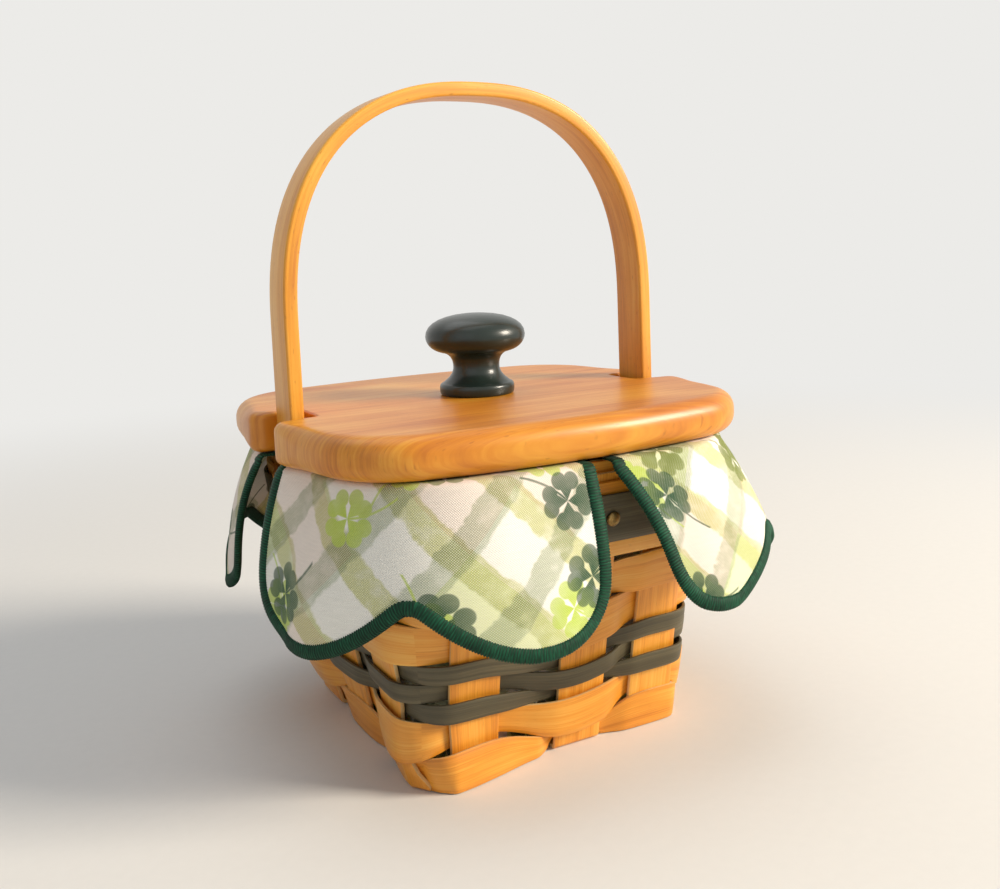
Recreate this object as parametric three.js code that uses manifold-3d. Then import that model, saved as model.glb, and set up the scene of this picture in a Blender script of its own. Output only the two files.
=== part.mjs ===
import * as THREE from 'three';
import { mergeVertices } from 'three/addons/utils/BufferGeometryUtils.js';
import Module from 'manifold-3d';

// A small square splint basket with a fixed bentwood handle, a notched board lid with a turned
// knob, and a cloth liner whose four flaps fold over the rim. Millimetres, +Z up. The origin is
// the middle of the base on the table, and X runs through both handle legs.

// Basket wall, taken at the middle of the upright splints
const wallFootHalf = 47.4;
const wallTopHalf = 66.1;
const cornerFootRadius = 3.5;
const cornerTopRadius = 36;
const rimTop = 97.6;

// Upright splints, which cross as the base and bend up into the wall
const stakeWidth = 17.5;
const stakeThickness = 1.5;
const stakeTop = 94;
const stakeBend = 1.35;
const spotsFrontToBack = [-33, 6.5, 35];
const spotsSideToSide = [-34, 0, 34];

// Woven rows, from the base up
const rowThickness = 1;
const lowerWideRow = 10.8;
const narrowRow = 5.7;
const upperWideRow = 12.2;
const rowGap = 0.35;
const firstRowFoot = 0.3;
const rowSag = 5;
const sagReach = 34;
const firstRowBelly = 6.5;
const bellyTurn = -0.34;
const bellyReach = 0.24;

// Rim bands, the stained trim over them and its tacks
const bandHeight = 25.4;
const innerBandThickness = 1.5;
const outerBandThickness = 1.8;
const outerBandFoot = 66;
const trimHeight = 16;
const trimThickness = 1.2;
const trimFoot = 71.6;
const tackRadius = 2.4;
const tackHeight = 1;
const tackSpread = 10.5;
const legTackSpread = 4;

// Bentwood handle
const handleWidth = 15.5;
const handleThickness = 4.8;
const legFoot = 68;
const legStraightTop = 142.2;
const archHeight = 78.3;
const archRoundness = 2.41;
const legKneeRun = 5;
const handleEase = 0.8;

// Liner
const clothThickness = 1;
const foldRadius = 2.2;
const lobeReach = 28;
const lobeDepth = 50.5;
const notchDepth = 35.5;
const shoulderDepth = 26;
const lobeSquareness = 2.6;
const notchSlopePower = 1.8;
const notchEase = 3.5;
const lobeSteps = 6;
const notchSteps = 6;
const notchCrowding = 1.5;
const edgingStart = 1;
const drawReach = 45;
const edgingWidth = 4;
const edgingThickness = 2.4;
const legSlot = 9.5;
const sideGap = 1.5;
const linerTurn = 3;
const drawnGap = 3.5;

// Lid, knob and screw
const lidHalfLength = 77.5;
const lidHalfWidth = 69.5;
const lidBow = 8;
const lidCorner = 20;
const lidThickness = 13.5;
const lidRound = 4.5;
const notchClearance = 1.85;
const notchInnerGap = 4.3;
const notchInnerRound = 2.5;
const notchMouthRound = 5;
const knobHeight = 28.6;
const knobCapRadius = 17.65;
const knobFootRadius = 13.26;
const knobWaistRadius = 8.2;
const screwRadius = 1.9;
const screwHeadRadius = 4;
const screwReach = 12;
const screwRecess = 0.6;

// Clearances between pieces that lie on each other
const clearance = 0.3;
const wovenClearance = 0.4;

const wood = { color: '#d98a3d', roughness: 0.5 };
const stained = { color: '#565444', roughness: 0.6 };
const cloth = { color: '#efe9de', roughness: 0.9 };
const thread = { color: '#1c4a3a', roughness: 0.7 };
const paint = { color: '#2a3a35', roughness: 0.35 };
const brass = { color: '#b08d57', roughness: 0.35, metalness: 1 };

const wasm = await Module();
wasm.setup();

const basket = new THREE.Group();

// Adds one closed piece to the object.
function addPiece(name, geometry, finish, parent = basket) {
  const mesh = new THREE.Mesh(geometry, new THREE.MeshStandardMaterial({ metalness: 0, ...finish }));
  mesh.name = name;
  parent.add(mesh);
  return mesh;
}

// Turns points and triangles into a geometry whose faces point outwards.
function closedGeometry(points, triangles) {
  let volume = 0;
  for (const [a, b, c] of triangles) {
    volume += points[a].dot(new THREE.Vector3().crossVectors(points[b], points[c]));
  }
  const index = triangles.flatMap(([a, b, c]) => (volume > 0 ? [a, b, c] : [a, c, b]));
  const geometry = new THREE.BufferGeometry().setFromPoints(points);
  geometry.setIndex(index);
  geometry.computeVertexNormals();
  return geometry;
}

// Skins a run of equal rings of points, either joined end to end or closed by a cap at each end.
// A cap runs straight across its ring, from the first half of the points to the second half.
function skin(rings, joined) {
  const size = rings[0].length;
  const triangles = [];
  const strips = joined ? rings.length : rings.length - 1;
  for (let i = 0; i < strips; i++) {
    const here = i * size;
    const next = ((i + 1) % rings.length) * size;
    for (let k = 0; k < size; k++) {
      const l = (k + 1) % size;
      triangles.push([here + k, here + l, next + l], [here + k, next + l, next + k]);
    }
  }
  const lastRing = (rings.length - 1) * size;
  for (let k = 0; k < size / 2 - 1 && !joined; k++) {
    const [a, b, c, d] = [k, k + 1, size - 2 - k, size - 1 - k];
    triangles.push([c, b, a], [d, c, a]);
    triangles.push([lastRing + a, lastRing + b, lastRing + c], [lastRing + a, lastRing + c, lastRing + d]);
  }
  return closedGeometry(rings.flat(), triangles);
}

// Makes a solid for cutting or joining out of a closed geometry.
function toSolid(geometry) {
  const bare = geometry.clone();
  bare.deleteAttribute('normal');
  bare.deleteAttribute('uv');
  const merged = mergeVertices(bare, 1e-4);
  return new wasm.Manifold(new wasm.Mesh({
    numProp: 3,
    vertProperties: new Float32Array(merged.attributes.position.array),
    triVerts: new Uint32Array(merged.index.array),
  }));
}

// Makes a geometry out of a solid.
function fromSolid(solid) {
  const mesh = solid.getMesh();
  const geometry = new THREE.BufferGeometry();
  geometry.setAttribute('position', new THREE.BufferAttribute(mesh.vertProperties, 3));
  geometry.setIndex(new THREE.BufferAttribute(mesh.triVerts, 1));
  geometry.computeVertexNormals();
  return geometry;
}

// Wall surface
// A place on the wall is a turn and a height. Turn 0 is the middle of the front face (-Y), and
// 1, 2 and 3 are the middles of the right, back and left faces. The half turns are the corners.

const wallHalf = (z) => THREE.MathUtils.mapLinear(z, 0, rimTop, wallFootHalf, wallTopHalf);
const cornerRadius = (z) => THREE.MathUtils.mapLinear(z, 0, rimTop, cornerFootRadius, cornerTopRadius);
const straightHalf = (z) => wallHalf(z) - cornerRadius(z);
const faceHalf = (z) => straightHalf(z) + cornerRadius(z) * Math.PI / 4;
const wallLean = Math.atan2(wallTopHalf - wallFootHalf, rimTop);

// How far the rim bows out over a handle leg, from 1 on the leg to 0 beside it.
function legBow(along) {
  const flat = legSlot;
  const fade = THREE.MathUtils.clamp((Math.abs(along) - flat) / (straightHalf(rimTop) - flat), 0, 1);
  return (1 + Math.cos(Math.PI * fade)) / 2;
}

// Point at an offset outwards from the wall's middle surface. Lift bows it out at the legs.
function wallPoint(turn, z, offset, lift = 0) {
  const face = Math.round(turn);
  const straight = straightHalf(z);
  const radius = cornerRadius(z);
  const run = (turn - face) * 2 * faceHalf(z);
  const bend = Math.max(0, Math.abs(run) - straight) / radius;
  const along = Math.sign(run) * (Math.min(Math.abs(run), straight) + (radius + offset) * Math.sin(bend));
  const onLeg = Math.abs(face % 2) === 1 ? lift * legBow(along) : 0;
  const out = straight + (radius + offset) * Math.cos(bend) + onLeg;
  return new THREE.Vector3(along, -out, z).applyAxisAngle(new THREE.Vector3(0, 0, 1), face * Math.PI / 2);
}

// How far out the wall's middle surface is at a sideways distance from a face's middle.
function wallOut(along, z) {
  const past = Math.max(0, Math.abs(along) - straightHalf(z));
  return straightHalf(z) + Math.sqrt(cornerRadius(z) ** 2 - past ** 2);
}

// The turn at which a face's own sideways distance is reached at a height.
function turnAt(face, along, z) {
  const past = Math.abs(along) - straightHalf(z);
  const radius = cornerRadius(z);
  const run = past > 0 ? straightHalf(z) + radius * Math.asin(Math.min(1, past / radius)) : Math.abs(along);
  return face + Math.sign(along) * run / (2 * faceHalf(z));
}

// Sideways places of the three uprights on each face, in the order of the turns.
const uprightPlaces = [
  spotsFrontToBack,
  spotsSideToSide,
  spotsFrontToBack.map((spot) => -spot).reverse(),
  spotsSideToSide.map((spot) => -spot).reverse(),
];

// Upright splints

const lowLevel = stakeThickness / 2;
const highLevel = lowLevel + stakeThickness + clearance;
const acrossSteps = [-0.5, 0, 0.5];

// One splint: down a wall, over and under the crossing splints, and up the opposite wall.
function stakeGeometry(face, spot, crossings, isHigh) {
  const half = stakeThickness / 2;
  const stations = [];
  const turnedFace = (side) => (side > 0 ? face + 2 : face);
  const addWall = (side, z) => stations.push((across, offset) => {
    const along = side > 0 ? -(spot + across) : spot + across;
    return wallPoint(turnAt(turnedFace(side), along, z), z, offset);
  });
  const place = (across, out, z) => new THREE.Vector3(spot + across, out, z)
    .applyAxisAngle(new THREE.Vector3(0, 0, 1), face * Math.PI / 2);
  const addBend = (side, angle, level) => stations.push((across, offset) => {
    const last = Math.PI / 2 - wallLean;
    const centreZ = level + stakeBend;
    const centreOut = wallOut(spot + across, centreZ) - stakeBend * Math.sin(last);
    const radius = stakeBend + offset;
    return place(across, side * (centreOut + radius * Math.sin(angle)), centreZ - radius * Math.cos(angle));
  });
  const addBase = (out, level) => stations.push((across, offset) => place(across, out, level - offset));
  const level = (index) => (isHigh(index) ? highLevel : lowLevel);
  const bendAngles = [0, 0.5, 1].map((share) => share * (Math.PI / 2 - wallLean));
  const wallHeights = [0.12, 0.28, 0.46, 0.64, 0.82, 1].map((share) => share * stakeTop);
  [...wallHeights].reverse().forEach((z) => addWall(-1, z));
  [...bendAngles].reverse().forEach((angle) => addBend(-1, angle, level(0)));
  crossings.forEach((crossing, index) => {
    const flat = stakeWidth / 2 + 2 * clearance;
    const low = Math.max(crossing - flat, -(wallFootHalf - stakeBend - clearance));
    const high = Math.min(crossing + flat, wallFootHalf - stakeBend - clearance);
    addBase(low, level(index));
    addBase(high, level(index));
  });
  bendAngles.forEach((angle) => addBend(1, angle, level(crossings.length - 1)));
  wallHeights.forEach((z) => addWall(1, z));
  const rings = stations.map((point) => [
    ...acrossSteps.map((share) => point(share * stakeWidth, half)),
    ...[...acrossSteps].reverse().map((share) => point(share * stakeWidth, -half)),
  ]);
  return skin(rings, false);
}

spotsFrontToBack.forEach((spot, i) => {
  const geometry = stakeGeometry(0, spot, spotsSideToSide, (j) => (i + j) % 2 === 0);
  addPiece(`splint_front_to_back_${i + 1}`, geometry, wood);
});
spotsSideToSide.forEach((spot, j) => {
  const crossings = spotsFrontToBack.map((place) => -place).reverse();
  const isHigh = (k) => (spotsFrontToBack.length - 1 - k + j) % 2 === 1;
  const geometry = stakeGeometry(1, spot, crossings, isHigh);
  addPiece(`splint_side_to_side_${j + 1}`, geometry, wood);
});

// Woven rows

const passOffset = stakeThickness / 2 + wovenClearance + rowThickness / 2;
const firstRowInsideFoot = highLevel + stakeThickness / 2 + 3 * wovenClearance;

// Places round the basket where a row's edge is set, each with how far out the row stands there:
// 1 over an upright, -1 behind one, and a smooth change between.
function rowStations(z, startsOver) {
  const flat = stakeWidth / 2 + 2 * clearance;
  const uprights = uprightPlaces.flatMap((spots, face) => spots.map((spot) => ({ face, spot })));
  const stations = [];
  uprights.forEach(({ face, spot }, index) => {
    const side = (index % 2 === 0) === startsOver ? 1 : -1;
    for (const step of [-flat, 0, flat]) {
      stations.push({ turn: turnAt(face, spot + step, z), side });
    }
    const after = uprights[(index + 1) % uprights.length];
    const wrap = index + 1 === uprights.length ? 4 : 0;
    const from = turnAt(face, spot + flat, z);
    const to = turnAt(after.face + wrap, after.spot - flat, z);
    for (const share of [0.25, 0.5, 0.75]) {
      stations.push({ turn: THREE.MathUtils.lerp(from, to, share), side: side * Math.cos(Math.PI * share) });
    }
  });
  return stations;
}

// How far the rows dip at the middle of the front and back faces.
function sagAt(turn, z) {
  const face = Math.round(turn);
  if (Math.abs(face % 2) === 1) {
    return 0;
  }
  const along = Math.abs(turn - face) * 2 * faceHalf(z);
  return rowSag * (1 + Math.cos(Math.PI * Math.min(1, along / sagReach))) / 2;
}

// How far the first row stands off the upright at the near corner, where it is slack.
function bellyAt(turn) {
  const away = Math.min(1, Math.abs(turn - bellyTurn) / bellyReach);
  return firstRowBelly * (1 + Math.cos(Math.PI * away)) / 2;
}

// One row between two level edges, as a closed hoop.
function rowGeometry(foot, top, startsOver, isFirst) {
  const half = rowThickness / 2;
  const edge = (z, isFoot) => rowStations(z, startsOver).map(({ turn, side }) => {
    const onBase = isFirst && isFoot;
    const height = onBase
      ? THREE.MathUtils.mapLinear(side, 1, -1, foot, firstRowInsideFoot)
      : z - sagAt(turn, z);
    const offset = side * passOffset + (isFirst ? bellyAt(turn) : 0);
    return [wallPoint(turn, height, offset - half), wallPoint(turn, height, offset + half)];
  });
  const feet = edge(foot, true);
  const tops = edge(top, false);
  return skin(feet.map(([inner, outer], i) => [inner, outer, tops[i][1], tops[i][0]]), true);
}

const rows = [
  { name: 'natural_row_1', height: lowerWideRow, finish: wood },
  { name: 'natural_row_2', height: lowerWideRow, finish: wood },
  { name: 'stained_strip_1', height: narrowRow, finish: stained },
  { name: 'stained_strip_2', height: narrowRow, finish: stained },
  { name: 'stained_strip_3', height: narrowRow, finish: stained },
  { name: 'natural_row_3', height: upperWideRow, finish: wood },
  { name: 'natural_row_4', height: upperWideRow, finish: wood },
];
let rowFoot = firstRowFoot;
rows.forEach(({ name, height, finish }, index) => {
  addPiece(name, rowGeometry(rowFoot, rowFoot + height, index % 2 === 0, index === 0), finish);
  rowFoot += height + rowGap;
});

// Rim bands, trim and tacks

const ringTurns = Array.from({ length: 64 }, (_, i) => i / 16);
const outerBandInside = stakeThickness / 2 + wovenClearance;
const legLift = handleThickness + wovenClearance;
const trimInside = outerBandInside + outerBandThickness + wovenClearance;
const trimOutside = trimInside + trimThickness;
const innerBandOutside = -(stakeThickness / 2 + wovenClearance);
const innerBandInside = innerBandOutside - innerBandThickness;

// A flat band round the basket between two offsets and two heights.
function bandGeometry(inside, outside, foot, top, lift) {
  return skin(ringTurns.map((turn) => [
    wallPoint(turn, foot, inside, lift),
    wallPoint(turn, foot, outside, lift),
    wallPoint(turn, top, outside, lift),
    wallPoint(turn, top, inside, lift),
  ]), true);
}

addPiece('inner_rim_band', bandGeometry(innerBandInside, innerBandOutside, rimTop - bandHeight, rimTop, 0), wood);
addPiece('outer_rim_band', bandGeometry(
  outerBandInside,
  outerBandInside + outerBandThickness,
  outerBandFoot,
  outerBandFoot + bandHeight,
  legLift,
), wood);
addPiece('rim_trim', bandGeometry(trimInside, trimOutside, trimFoot, trimFoot + trimHeight, legLift), stained);

const tackShape = new THREE.Path();
tackShape.moveTo(0, 0);
tackShape.lineTo(tackRadius, 0);
tackShape.quadraticCurveTo(tackRadius * 0.9, tackHeight, 0, tackHeight);
const tackGeometry = new THREE.LatheGeometry(tackShape.getPoints(3), 10);
for (let face = 0; face < 4; face++) {
  const spread = face % 2 === 1 ? legTackSpread : tackSpread;
  for (const side of [-1, 1]) {
    const z = trimFoot + trimHeight / 2;
    const tack = addPiece(`tack_${face * 2 + (side > 0 ? 2 : 1)}`, tackGeometry, brass);
    tack.position.copy(wallPoint(turnAt(face, side * spread, z), z, trimOutside + clearance, legLift));
    const out = new THREE.Vector3(0, -Math.cos(wallLean), -Math.sin(wallLean))
      .applyAxisAngle(new THREE.Vector3(0, 0, 1), face * Math.PI / 2);
    tack.quaternion.setFromUnitVectors(new THREE.Vector3(0, 1, 0), out);
  }
}

// Handle

const legInside = wallHalf(stakeTop) + outerBandInside;
const legOutside = legInside + handleThickness;

// Middle line of the handle in the plane of both legs, from one foot over the top to the other.
function handleLine() {
  const middle = legInside + handleThickness / 2;
  const archHalf = middle;
  const archRise = archHeight - handleThickness / 2;
  const footOut = wallHalf(legFoot) + outerBandInside + handleThickness / 2;
  const kneeTop = new THREE.Vector2(middle, stakeTop + legKneeRun);
  const knee = new THREE.Vector2(middle, stakeTop);
  const slope = new THREE.Vector2(footOut - middle, legFoot - stakeTop).normalize();
  const kneeFoot = knee.clone().addScaledVector(slope, legKneeRun);
  const leg = new THREE.Path();
  leg.moveTo(footOut, legFoot);
  leg.lineTo(kneeFoot.x, kneeFoot.y);
  leg.quadraticCurveTo(knee.x, knee.y, kneeTop.x, kneeTop.y);
  leg.lineTo(middle, legStraightTop);
  const right = leg.getPoints(3);
  const arch = [];
  const steps = 32;
  for (let i = 1; i < steps; i++) {
    const angle = Math.PI * i / steps;
    const power = 2 / archRoundness;
    const x = archHalf * Math.sign(Math.cos(angle)) * Math.abs(Math.cos(angle)) ** power;
    arch.push(new THREE.Vector2(x, legStraightTop + archRise * Math.sin(angle) ** power));
  }
  const left = right.map((p) => new THREE.Vector2(-p.x, p.y)).reverse();
  return [...right, ...arch, ...left];
}

// Moves a line of points sideways by a distance.
function offsetLine(points, distance) {
  return points.map((point, i) => {
    const before = points[Math.max(0, i - 1)];
    const after = points[Math.min(points.length - 1, i + 1)];
    const along = after.clone().sub(before).normalize();
    return new THREE.Vector2(point.x + along.y * distance, point.y - along.x * distance);
  });
}

const handleMiddle = handleLine();
const handleInset = handleThickness / 2 - handleEase;
const handleShape = new THREE.Shape([
  ...offsetLine(handleMiddle, handleInset),
  ...offsetLine(handleMiddle, -handleInset).reverse(),
]);
const handleGeometry = new THREE.ExtrudeGeometry(handleShape, {
  depth: handleWidth - 2 * handleEase,
  bevelSize: handleEase,
  bevelThickness: handleEase,
  bevelSegments: 1,
});
handleGeometry.translate(0, 0, handleEase - handleWidth / 2);
handleGeometry.rotateX(Math.PI / 2);
addPiece('handle', handleGeometry, { ...wood, color: '#e0a050' });

// Liner pouch

const pouchOutside = innerBandInside - wovenClearance;
const pouchInside = pouchOutside - clothThickness;
const pouchFoot = highLevel + stakeThickness / 2 + 2 * clearance;
const pouchTop = rimTop + clearance;
const pouchSection = [
  { z: pouchFoot, offset: pouchInside },
  { z: pouchFoot + clothThickness, offset: pouchOutside },
  { z: pouchTop, offset: pouchOutside },
  { z: pouchTop, offset: pouchInside },
  { z: pouchFoot + clothThickness, offset: pouchInside },
];
const pouchRings = pouchSection.map(({ z, offset }) => ringTurns.map((turn) => wallPoint(turn, z, offset)));
addPiece('liner_pouch', skin(pouchRings, false), cloth);

// Liner flaps and their stitched edging
// Each flap folds over the rim and hangs round one corner. A place on it is a distance sideways
// from the middle of its lower edge's notch and a distance down from the fold.

const lidUnderside = rimTop + 2 * clearance + clothThickness + clearance;
const topClothMiddle = pouchTop + clearance + clothThickness / 2;
const foldOffset = trimOutside + clearance + edgingThickness / 2;
const foldRound = cornerTopRadius + foldOffset;
const quarterRun = foldRound * Math.PI / 4;

// Turn at a run along the fold line, measured from a corner.
function foldTurn(cornerTurn, run) {
  const onCorner = Math.min(Math.abs(run), quarterRun) * cornerTopRadius / foldRound;
  const onFace = Math.max(0, Math.abs(run) - quarterRun);
  return cornerTurn + Math.sign(run) * (onCorner + onFace) / (2 * faceHalf(rimTop));
}

// Depth of the notch between a flap's lobes, drawn in from the edge by inset.
function notchEdge(along, lobeMiddle, inset) {
  const rise = lobeDepth - notchDepth;
  const rounded = Math.hypot(along, notchEase);
  const span = Math.hypot(lobeMiddle, notchEase) - notchEase;
  const share = 1 - (rounded - notchEase) / span;
  const slope = rise * notchSlopePower * share ** (notchSlopePower - 1) * along / rounded / span;
  return notchDepth + rise * (1 - share ** notchSlopePower) - inset * Math.hypot(1, slope);
}

// Middle surface of the hanging part of a flap. It stands out from the basket as it hangs, and
// the end beside the front or back gap is drawn in towards the flap's own corner.
function flapPoint(flap, along, down) {
  const swing = 1 - (1 - down / lobeDepth) ** 2;
  const nearEnd = THREE.MathUtils.smoothstep(flap.drawnEnd * along, flap.half - drawReach, flap.half);
  const drawn = along - flap.drawnEnd * flap.draw * swing * nearEnd;
  const turn = foldTurn(flap.corner, flap.centre + drawn);
  const point = wallPoint(turn, rimTop, foldOffset + flap.stand * swing, legLift);
  point.z = topClothMiddle - foldRadius - down * Math.cos(Math.atan(flap.stand / lobeDepth));
  return point;
}

// Outward direction of a flap's surface at a place on it.
function flapNormal(flap, along, down) {
  const step = 0.5;
  const sideways = flapPoint(flap, along + step, down).sub(flapPoint(flap, along - step, down));
  const downwards = flapPoint(flap, along, down + step).sub(flapPoint(flap, along, down - step));
  return sideways.cross(downwards).normalize().negate();
}

// Outline of a flap below its straight sides, drawn in from the edge by inset, from one shoulder
// round both lobes and the notch between them to the other shoulder.
function flapOutline(flap, inset) {
  const lobeMiddle = flap.half - lobeReach;
  const lobeWidth = lobeReach - inset;
  const lobeDrop = lobeDepth - inset - shoulderDepth;
  const power = 2 / lobeSquareness;
  const side = [];
  for (let i = 0; i < lobeSteps; i++) {
    const angle = Math.PI / 2 * i / lobeSteps;
    side.push([
      lobeMiddle + lobeWidth * Math.cos(angle) ** power,
      shoulderDepth + lobeDrop * Math.sin(angle) ** power,
    ]);
  }
  for (let i = notchSteps; i > 0; i--) {
    const along = lobeMiddle * (i / notchSteps) ** notchCrowding;
    side.push([along, notchEdge(along, lobeMiddle, inset)]);
  }
  const mirrored = side.map(([along, down]) => [-along, down]).reverse();
  return [...side, [0, notchEdge(0, lobeMiddle, inset)], ...mirrored];
}

// A flap's cloth: over the rim, round the fold and down to its scalloped edge.
function flapGeometry(flap) {
  const half = clothThickness / 2;
  const hangingSteps = 5;
  const overRim = [
    { offset: pouchInside + half, lift: 0, drop: 0, lean: 0 },
    { offset: foldOffset / 2, lift: legLift / 2, drop: 0, lean: 0 },
    { offset: foldOffset - foldRadius, lift: legLift, drop: 0, lean: 0 },
    {
      offset: foldOffset - foldRadius * (1 - Math.SQRT1_2),
      lift: legLift,
      drop: foldRadius * (1 - Math.SQRT1_2),
      lean: Math.SQRT1_2,
    },
  ];
  const rings = flapOutline(flap, edgingWidth + wovenClearance).map(([along, depth]) => {
    const turn = foldTurn(flap.corner, flap.centre + along);
    const surfaces = [half, -half].map((side) => {
      const column = overRim.map(({ offset, lift, drop, lean }) => {
        const point = wallPoint(turn, rimTop, offset + side * lean, lift);
        point.z = topClothMiddle - drop + side * (lean || 1);
        return point;
      });
      for (let k = 0; k <= hangingSteps; k++) {
        const down = depth * k / hangingSteps;
        const normal = flapNormal(flap, along, down);
        column.push(flapPoint(flap, along, down).addScaledVector(normal, side));
      }
      return column;
    });
    return [...surfaces[0], ...surfaces[1].reverse()];
  });
  return skin(rings, false);
}

// A flat oval cord of stitches along a flap's outline, from the fold down and back up to it.
function edgingGeometry(flap) {
  const inset = edgingWidth / 2;
  const sideEnds = [edgingStart, (edgingStart + shoulderDepth) / 2];
  const line = [
    ...sideEnds.map((down) => [flap.half - inset, down]),
    ...flapOutline(flap, inset),
    ...sideEnds.map((down) => [inset - flap.half, down]).reverse(),
  ];
  const sides = 6;
  const rings = line.map(([along, down], i) => {
    const centre = flapPoint(flap, along, down);
    const before = flapPoint(flap, ...line[Math.max(0, i - 1)]);
    const after = flapPoint(flap, ...line[Math.min(line.length - 1, i + 1)]);
    const normal = flapNormal(flap, along, down);
    const sideways = after.sub(before).cross(normal).normalize();
    return Array.from({ length: sides }, (_, k) => {
      const angle = 2 * Math.PI * (k + 0.5) / sides;
      return centre.clone()
        .addScaledVector(sideways, edgingWidth / 2 * Math.cos(angle) / Math.cos(Math.PI / sides))
        .addScaledVector(normal, edgingThickness / 2 * Math.sin(angle));
    });
  });
  return skin(rings, false);
}

// Runs along the fold from a corner to the middle of a face, less the gap left there.
const cornerToFaceMiddle = straightHalf(rimTop) + quarterRun;
const toLeg = cornerToFaceMiddle - legSlot;
const toNearSide = cornerToFaceMiddle - sideGap + linerTurn;
const toFarSide = cornerToFaceMiddle - sideGap - drawnGap - linerTurn;
const flaps = [
  { name: 'near', corner: -0.5, before: toLeg, after: toNearSide, drawnEnd: 1, draw: 0, stand: 9 },
  { name: 'right', corner: 0.5, before: toFarSide, after: toLeg, drawnEnd: -1, draw: 12, stand: 16 },
  { name: 'far', corner: 1.5, before: toLeg, after: toNearSide, drawnEnd: 1, draw: 6, stand: 12 },
  { name: 'left', corner: 2.5, before: toFarSide, after: toLeg, drawnEnd: 1, draw: 12, stand: 12 },
];
for (const flap of flaps) {
  flap.half = (flap.before + flap.after) / 2;
  flap.centre = (flap.after - flap.before) / 2;
  addPiece(`flap_${flap.name}`, flapGeometry(flap), cloth);
  addPiece(`edging_${flap.name}`, edgingGeometry(flap), thread);
}

// Lid

const lid = new THREE.Group();
lid.position.z = lidUnderside;
basket.add(lid);

// Rounded rectangle whose four sides bow outwards, drawn in from its edge by inset.
function bowedShape(halfLength, halfWidth, bow, corner, inset) {
  const endRadius = (halfWidth ** 2 + bow ** 2) / (2 * bow);
  const sideRadius = (halfLength ** 2 + bow ** 2) / (2 * bow);
  const endCentre = new THREE.Vector2(halfLength - endRadius, 0);
  const sideCentre = new THREE.Vector2(0, halfWidth - sideRadius);
  const between = sideCentre.clone().sub(endCentre);
  const span = between.length();
  const endReach = endRadius - corner;
  const sideReach = sideRadius - corner;
  const foot = (endReach ** 2 - sideReach ** 2 + span ** 2) / (2 * span);
  const height = Math.sqrt(endReach ** 2 - foot ** 2);
  const unit = between.divideScalar(span);
  const centre = endCentre.clone()
    .addScaledVector(unit, foot)
    .addScaledVector(new THREE.Vector2(-unit.y, unit.x), height);
  const low = centre.clone().sub(endCentre).angle();
  const high = centre.clone().sub(sideCentre).angle();
  const quarter = [];
  const addArc = (middle, radius, from, to, steps) => {
    for (let i = 0; i < steps; i++) {
      const angle = THREE.MathUtils.lerp(from, to, i / steps);
      quarter.push(new THREE.Vector2(Math.cos(angle), Math.sin(angle)).multiplyScalar(radius).add(middle));
    }
  };
  addArc(endCentre, endRadius - inset, 0, low, 3);
  addArc(centre, corner - inset, low, high, 5);
  addArc(sideCentre, sideRadius - inset, high, Math.PI / 2, 3);
  quarter.push(new THREE.Vector2(0, halfWidth - inset));
  const flipX = quarter.slice(0, -1).map((p) => new THREE.Vector2(-p.x, p.y)).reverse();
  const upper = [...quarter, ...flipX];
  const lower = upper.slice(1, -1).map((p) => new THREE.Vector2(p.x, -p.y)).reverse();
  return new THREE.Shape([...upper, ...lower]);
}

const lidBoard = new THREE.ExtrudeGeometry(
  bowedShape(lidHalfLength, lidHalfWidth, lidBow, lidCorner, lidRound),
  {
    depth: lidThickness - 2 * lidRound,
    bevelSize: lidRound,
    bevelThickness: lidRound,
    bevelSegments: 3,
  },
);
lidBoard.translate(0, 0, lidRound);

// Cutter for the open notch round the right leg.
function notchCutter() {
  const half = handleWidth / 2 + notchClearance;
  const end = legInside - notchInnerGap;
  const mouth = lidHalfLength - notchMouthRound;
  const beyond = lidHalfLength + notchMouthRound;
  const shape = new THREE.Shape();
  shape.moveTo(end + notchInnerRound, -half);
  shape.lineTo(mouth, -half);
  shape.absarc(mouth, -half - notchMouthRound, notchMouthRound, Math.PI / 2, 0, true);
  shape.lineTo(beyond, -half - notchMouthRound);
  shape.lineTo(beyond, half + notchMouthRound);
  shape.lineTo(lidHalfLength, half + notchMouthRound);
  shape.absarc(mouth, half + notchMouthRound, notchMouthRound, 0, -Math.PI / 2, true);
  shape.lineTo(end + notchInnerRound, half);
  shape.absarc(end + notchInnerRound, half - notchInnerRound, notchInnerRound, Math.PI / 2, Math.PI, false);
  shape.absarc(end + notchInnerRound, notchInnerRound - half, notchInnerRound, Math.PI, 1.5 * Math.PI, false);
  const cutter = new THREE.ExtrudeGeometry(shape, { depth: 2 * lidThickness, bevelEnabled: false, curveSegments: 4 });
  cutter.translate(0, 0, -lidThickness / 2);
  return cutter;
}

// Turns a profile of [radius, height] pairs that starts and ends on the axis into a solid.
function turned(profile, segments) {
  const geometry = new THREE.LatheGeometry(profile.map(([r, z]) => new THREE.Vector2(r, z)), segments);
  geometry.rotateX(Math.PI / 2);
  return geometry;
}

const holeRadius = screwRadius + clearance;
const sinkRadius = screwHeadRadius + clearance;
const screwHole = turned([
  [0, -1],
  [sinkRadius, -1],
  [sinkRadius, screwRecess + clearance],
  [holeRadius, screwRecess + clearance + sinkRadius - holeRadius],
  [holeRadius, lidThickness + 1],
  [0, lidThickness + 1],
], 16);
const notch = toSolid(notchCutter());
const lidSolid = toSolid(lidBoard)
  .subtract(notch)
  .subtract(notch.rotate([0, 0, 180]))
  .subtract(toSolid(screwHole));
addPiece('lid', fromSolid(lidSolid), { ...wood, color: '#d2904e' }, lid);

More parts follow.
